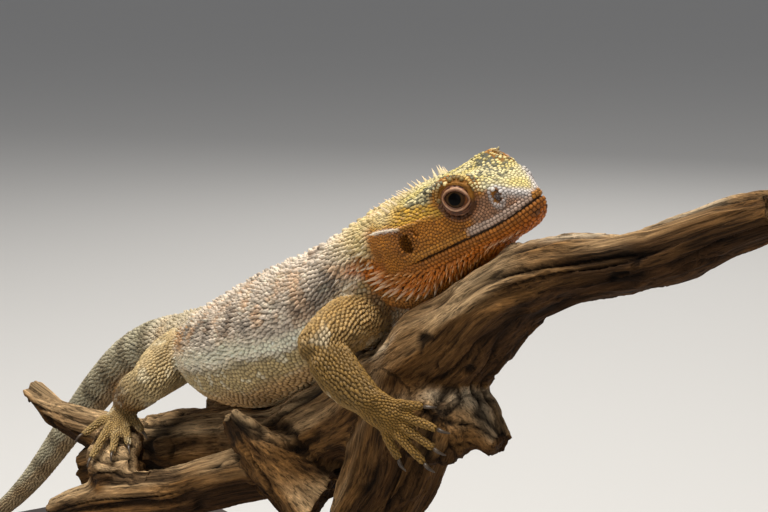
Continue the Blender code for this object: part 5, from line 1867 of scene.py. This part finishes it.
@dataclass
class Driftwood:
    """The perch: weathered limbs with flutes, cracks and pale tops that follow each limb's own line; its tint
    carries painted light on the upward faces and painted shade on the undersides, in the grooves and in the
    cracks.
    """

    ears: Array
    voxel: float = 0.95
    stretch: float = 12.0

    # Colours by the way a face points: TOP and GREY for upward faces, SIDE for the sides, LOW for undersides
    # and grooves, DEEP for cracks and pits; much of the difference between them is painted light and shade.
    TOP = srgb(196, 164, 122)
    GREY = srgb(206, 188, 160)
    SIDE = srgb(122, 86, 46)
    LOW = srgb(66, 44, 24)
    DEEP = srgb(22, 14, 8)
    LIMB_LINES = (
        (((126, 7, 16), 6.2), ((93, 6.5, 3.6), 9), ((65, 3, -5), 9.8), ((33, 0.5, -17), 12.5),
         ((15, -1, -33), 14.6), ((-2, -2, -46), 17.6), ((-28, -3, -62), 18), ((-65, -1, -81), 18),
         ((-105, -1, -92), 16.5), ((-145, -8, -101), 15), ((-190, -19, -117), 10.5)),
        (((-1, -4, -48), 13), ((22, -2, -53), 8), ((34, -1, -61), 4.6)),
        (((-2, -4, -50), 17), ((-16, -7, -84), 14.5), ((-27, -7, -116), 12)),
        (((-38, -11, -94), 15), ((-52, -22, -83), 10), ((-61, -28, -74), 5.2), ((-68, -32, -67), 2.4)),
        (((-58, -18, -85), 11), ((-95, -33, -99), 9.5), ((-125, -42, -107), 8.5), ((-162, -51, -122), 7)),
        (((-146, -12, -103), 12), ((-172, -24, -99), 8), ((-194, -31, -96), 6), ((-218, -35, -92), 4.8)),
    )

    def limb_shares(self, points: Array) -> list[tuple[Array, Array]]:
        """For each limb: its share of each point, and the point in grain coordinates, squeezed along it."""
        near, grain = [], []
        for k, line in enumerate(self.LIMB_LINES):
            corners = np.array([p for p, _ in line], float) + self.ears
            course = Course(corners)
            found, _, tangent = course.locate(points)
            gap, _ = polyline_distance(points, course.points)
            near.append(np.exp(-4.0 * gap / np.interp(found, lengths_along(corners), [r for _, r in line])))
            last = len(course.points) - 1
            index = np.clip((found / course.distance[-1] * last).astype(int), 0, last)
            left, up = course.offsets(points, index, tangent)
            grain.append(columns(left, up, found / self.stretch) + 200.0 * k)
        total = sum(near) + 1e-12
        return [(w / total, g) for w, g in zip(near, grain)]

    def mixed(self, limbs: list[tuple[Array, Array]], pitch: float, seed: int) -> Array:
        """Noise stretched along the grain of whichever limb is nearest."""
        return sum(share * cloud(grain, pitch, seed) for share, grain in limbs)

    def build(self) -> Piece:
        """The piece."""
        points, quads = fused({"perch": 0.0}, self.voxel)
        points = Net([quads], len(points)).relax(points, np.ones(len(points)), 10)
        normal = normals_of(points, [quads])
        limbs = self.limb_shares(points)
        bend = points + 2.0 * columns(*(cloud(points, 26, 50 + k) for k in range(3)))
        limbs = [(share, grain + (bend - points)) for share, grain in limbs]
        flute, ridge, fine = (self.mixed(limbs, w, k) for w, k in ((7.5, 41), (3.0, 42), (1.3, 43)))
        split, strand = self.mixed(limbs, 4.2, 44), self.mixed(limbs, 2.1, 51)
        cracks = ramp(np.abs(split), 0.20, 0.02) * ramp(cloud(points, 24, 45), -0.45, 0.10)
        crest = hill(apart(points - self.ears, (90, 4, 10), (1.6, 1.2, 1)), 14)
        peel = ramp(strand, -0.02, 0.10) * ramp(cloud(points, 17, 52), -0.2, 0.3)
        pits = ramp(cloud(points, 4.2, 48), 0.62, 0.80) * ramp(cloud(points, 30, 49), -0.1, 0.4)
        # Upward faces, more on the flutes' crests: painted light on the tops, partly the wood's own
        # sun-bleached weathering.
        lit_and_worn_top = ramp(normal[:, 2] + 0.25 * flute, -0.1, 0.75)
        chest = hill(apart(points - self.ears, (2.5, -11, -27)), 9)
        relief = 3.0 * chest + 1.25 * flute + 0.95 * ridge + 0.40 * fine + (0.55 + 0.9 * crest) * peel
        relief = relief - 1.4 * cracks - 1.1 * pits - 1.1
        points = points + normal * relief[:, None]
        made = write_mesh("driftwood", points, [quads])
        high = np.clip(ramp(points[:, 2] - self.ears[2], -70, -40) * 0.65 + 0.5 * crest, 0, 1)
        # Dark on the undersides and brown on the sides: painted shade that follows the faces' slope; tan on
        # the upward faces and grey on the higher limbs: painted light, partly a weathered crust.
        colour = layered(
            self.LOW,
            (self.SIDE, ramp(normal[:, 2], -0.75, 0.15)),
            (self.TOP, lit_and_worn_top * ramp(cloud(points, 22, 46) + 0.5 * flute, -0.9, 0.3)),
            (self.GREY, high * lit_and_worn_top * ramp(self.mixed(limbs, 5, 47) + crest * peel, 0, 0.6)),
            # Darkest in the hollows between the flutes and ridges: painted shade in the grooves.
            (self.LOW, 0.85 * ramp(0.6 * flute + 0.7 * ridge + 0.3 * fine, -0.10, -0.60)),
        )
        # The tone rises with the fine relief and the peeling strands: partly their own variation, partly
        # painted light on the raised grain.
        colour = colour * (1.0 + 0.26 * fine + 0.16 * strand)[:, None]
        # Near black in the carved cracks and pits: painted shade in the hollows.
        set_tint(made, blend(colour, self.DEEP, np.clip(0.9 * cracks + 0.9 * pits, 0, 1)))
        strongest = np.stack([share for share, _ in limbs]).argmax(0)
        set_grain(made, np.stack([g for _, g in limbs])[strongest, np.arange(len(points))] * MM)
        return made


# ---- stand


@dataclass
class Stand:
    """The board and the two rods, each shaped to its solid's own box."""

    edge: float = 1.6
    corner: float = 28.0
    foot_height: float = 3.0
    sides: int = 48

    def steepness(self, edge: bmesh.types.BMEdge) -> float:
        """From 0 for a level edge to 1 for an upright one."""
        return abs((edge.verts[0].co - edge.verts[1].co).normalized().z)

    def board(self) -> Piece:
        """A board with round corners and eased edges."""
        low, high = (np.array(v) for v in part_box("stand_base"))
        bevel = {"affect": "EDGES", "profile": 0.5, "material": -1}
        bm = bmesh.new()
        ops.create_cube(bm, size=1.0)
        ops.scale(bm, vec=Vector(high - low), verts=bm.verts)
        ops.translate(bm, vec=Vector((low + high) / 2), verts=bm.verts)
        upright = [e for e in bm.edges if self.steepness(e) > 0.9]
        ops.bevel(bm, geom=upright, offset=self.corner * MM, segments=10, **bevel)
        flat = [e for e in bm.edges if self.steepness(e) < 0.1]
        rims = [e for e in flat if e.calc_face_angle(0) > 1.2]
        ops.bevel(bm, geom=rims, offset=self.edge * MM, segments=4, **bevel)
        made = from_bmesh("stand_board", bm)
        made.data.set_sharp_from_angle(angle=math.radians(40))
        return made

    def rod(self, node: str) -> Piece:
        """A round rod turned from its profile, with its foot."""
        low, high = (np.array(v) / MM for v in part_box(node))
        centre = (low + high) / 2
        points, _ = soup(node)
        upper = points[points[:, 2] > high[2] - 1.0]
        radius = norm(upper[:, :2] - centre[:2], axis=1).max()
        foot = (high[0] - low[0]) / 2
        shoulder = low[2] + self.foot_height
        bottom, top = low[2], high[2]
        outline = [(0.0, bottom), (foot - 0.4, bottom), (foot, bottom + 0.4), (foot, shoulder - 0.6)]
        outline += [(foot - 0.6, shoulder), (radius + 0.5, shoulder + 0.15), (radius, shoulder + 0.8)]
        outline += [(radius, top - 0.5), (radius - 0.5, top), (0.0, top)]
        bm = turned(outline, self.sides)
        ops.remove_doubles(bm, verts=bm.verts, dist=1e-4)
        ops.translate(bm, vec=Vector((centre[0], centre[1], 0.0)), verts=bm.verts)
        ops.scale(bm, vec=(MM, MM, MM), verts=bm.verts)
        ops.recalc_face_normals(bm, faces=bm.faces)
        made = from_bmesh(f"{node}_turned", bm)
        made.data.set_sharp_from_angle(angle=math.radians(40))
        return made


# ---- studio


@dataclass
class Studio:
    """Floor, soft lights and camera, which stands off from the middle of the ears, in metres."""

    anatomy: Anatomy
    lens: float = 85.0
    azimuth: float = 56.0
    elevation: float = 10.0
    stand_off: Place = (0.4107, -0.2947, 0.0775)
    floor_size: float = 19.0

    def light(self, name: str, place: tuple, target: tuple, size: float, watts: float, colour: tuple) -> None:
        """A square soft light at place, in metres, turned to target."""
        lamp = bpy.data.lights.new(name, "AREA")
        lamp.shape = "SQUARE"
        lamp.size = size
        lamp.energy = watts
        lamp.color = colour
        made = placed(name, lamp)
        made.location = place
        made.rotation_euler = (Vector(target) - Vector(place)).to_track_quat("-Z", "Y").to_euler()

    def build(self) -> None:
        """Everything round the object."""
        bm = bmesh.new()
        ops.create_grid(bm, x_segments=2, y_segments=2, size=self.floor_size)
        floor = from_bmesh("studio_floor", bm, smooth=False)
        floor.data.materials.append(FloorFinish().build())
        middle = tuple((CAD_BOX[0] + CAD_BOX[1]) / 2)
        self.light("key", (0.12, -0.22, 1.25), middle, 0.60, 17.0, (1.0, 0.965, 0.91))
        self.light("fill", (1.2, -1.0, 0.45), middle, 1.2, 1.8, (0.95, 0.97, 1.0))
        self.light("rim", (-0.6, 0.9, 0.8), middle, 0.7, 3.5, (1.0, 0.97, 0.93))
        world = bpy.data.worlds.new("studio")
        world.use_nodes = True
        background = world.node_tree.nodes["Background"]
        background.inputs["Color"].default_value = (0.80, 0.81, 0.84, 1.0)
        background.inputs["Strength"].default_value = 0.26
        scene = bpy.context.scene
        scene.world = world
        scene.view_settings.view_transform = "Standard"
        data = bpy.data.cameras.new("camera")
        data.lens, data.sensor_width = self.lens, 36.0
        data.clip_start, data.clip_end = 0.02, 60.0
        camera = placed("camera", data)
        camera.location = Vector(self.anatomy.ears * MM) + Vector(self.stand_off)
        camera.rotation_euler = (math.pi / 2 - math.radians(self.elevation), 0.0, math.radians(self.azimuth))
        scene.camera = camera


# ---- main


def dress(piece: Piece, material: Material, slot: str, *nodes: str) -> None:
    """Gives a piece its finish, its body and the nodes that it stands for."""
    piece.data.materials.clear()
    piece.data.materials.append(material)
    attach(piece, "root")
    if nodes:
        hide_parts(*nodes)
    LOG.info("%s: %d faces", piece.name, len(piece.data.polygons))


SLOTS = {"crown": "hide_head", "cheeks": "hide_head", "beard": "hide_head", "tail": "hide_tail"}
SLOTS |= {"arm": "hide_limb", "leg": "hide_limb"}


def main() -> None:
    """Builds the model piece by piece."""
    logging.basicConfig(level=logging.INFO, format="%(message)s")
    anatomy, form = Anatomy(), HeadForm()
    hide = Hide(anatomy, form)
    markings, unwrap = Markings(form, anatomy.vent_s), Unwrap(anatomy)
    scales = ScaleFinish().build()
    skin = write_mesh("skin", hide.points, hide.faces)
    kept = thinned(skin, 0.55, hide.spots.share(Part.HEAD))
    set_tint(skin, markings.ground(hide.spots.pick(hide.onto(kept)[2])))
    LOG.info("skin: %d of %d points stay", len(kept), len(hide.points))
    dress(skin, ScaleFinish("skin", (0.55, 0.75), 0.08, 0.3).build(), "hide_body", *FLESH)
    for piece in Coat(hide, markings, unwrap).build():
        dress(piece, scales, SLOTS.get(piece.name.split("_")[1], "hide_body"))
    spines = Spines(hide, markings)
    dress(spines.head().build(hide, unwrap), scales, "hide_head")
    dress(spines.fringe().build(hide, unwrap), scales, "hide_body")
    eyes = Eyes(hide)
    wet, lid = EyeFinish().build(), ScaleFinish("eyelid", (0.40, 0.58), 0.06, 0.45).build()
    for word, side in SIDES:
        dress(eyes.ball(word, side), wet, "eye", f"eye_{word}")
        dress(eyes.lids(word, side), lid, "hide_head")
    horn = ClawFinish().build()
    for *_, paw in LIMBS:
        dress(Claws().build(paw), horn, "claw", *(f"claw_{paw}_{k}" for k in range(1, 6)))
    dress(Driftwood(anatomy.ears).build(), DriftwoodFinish().build(), "driftwood", "perch")
    stand, steel = Stand(), SteelFinish().build()
    dress(stand.board(), BoardFinish().build(), "stand_board", "stand_base")
    for node in ("stand_rod_front", "stand_rod_rear"):
        dress(stand.rod(node), steel, "stand_steel", node)
    Studio(anatomy).build()


if __name__ == "__main__":
    main()
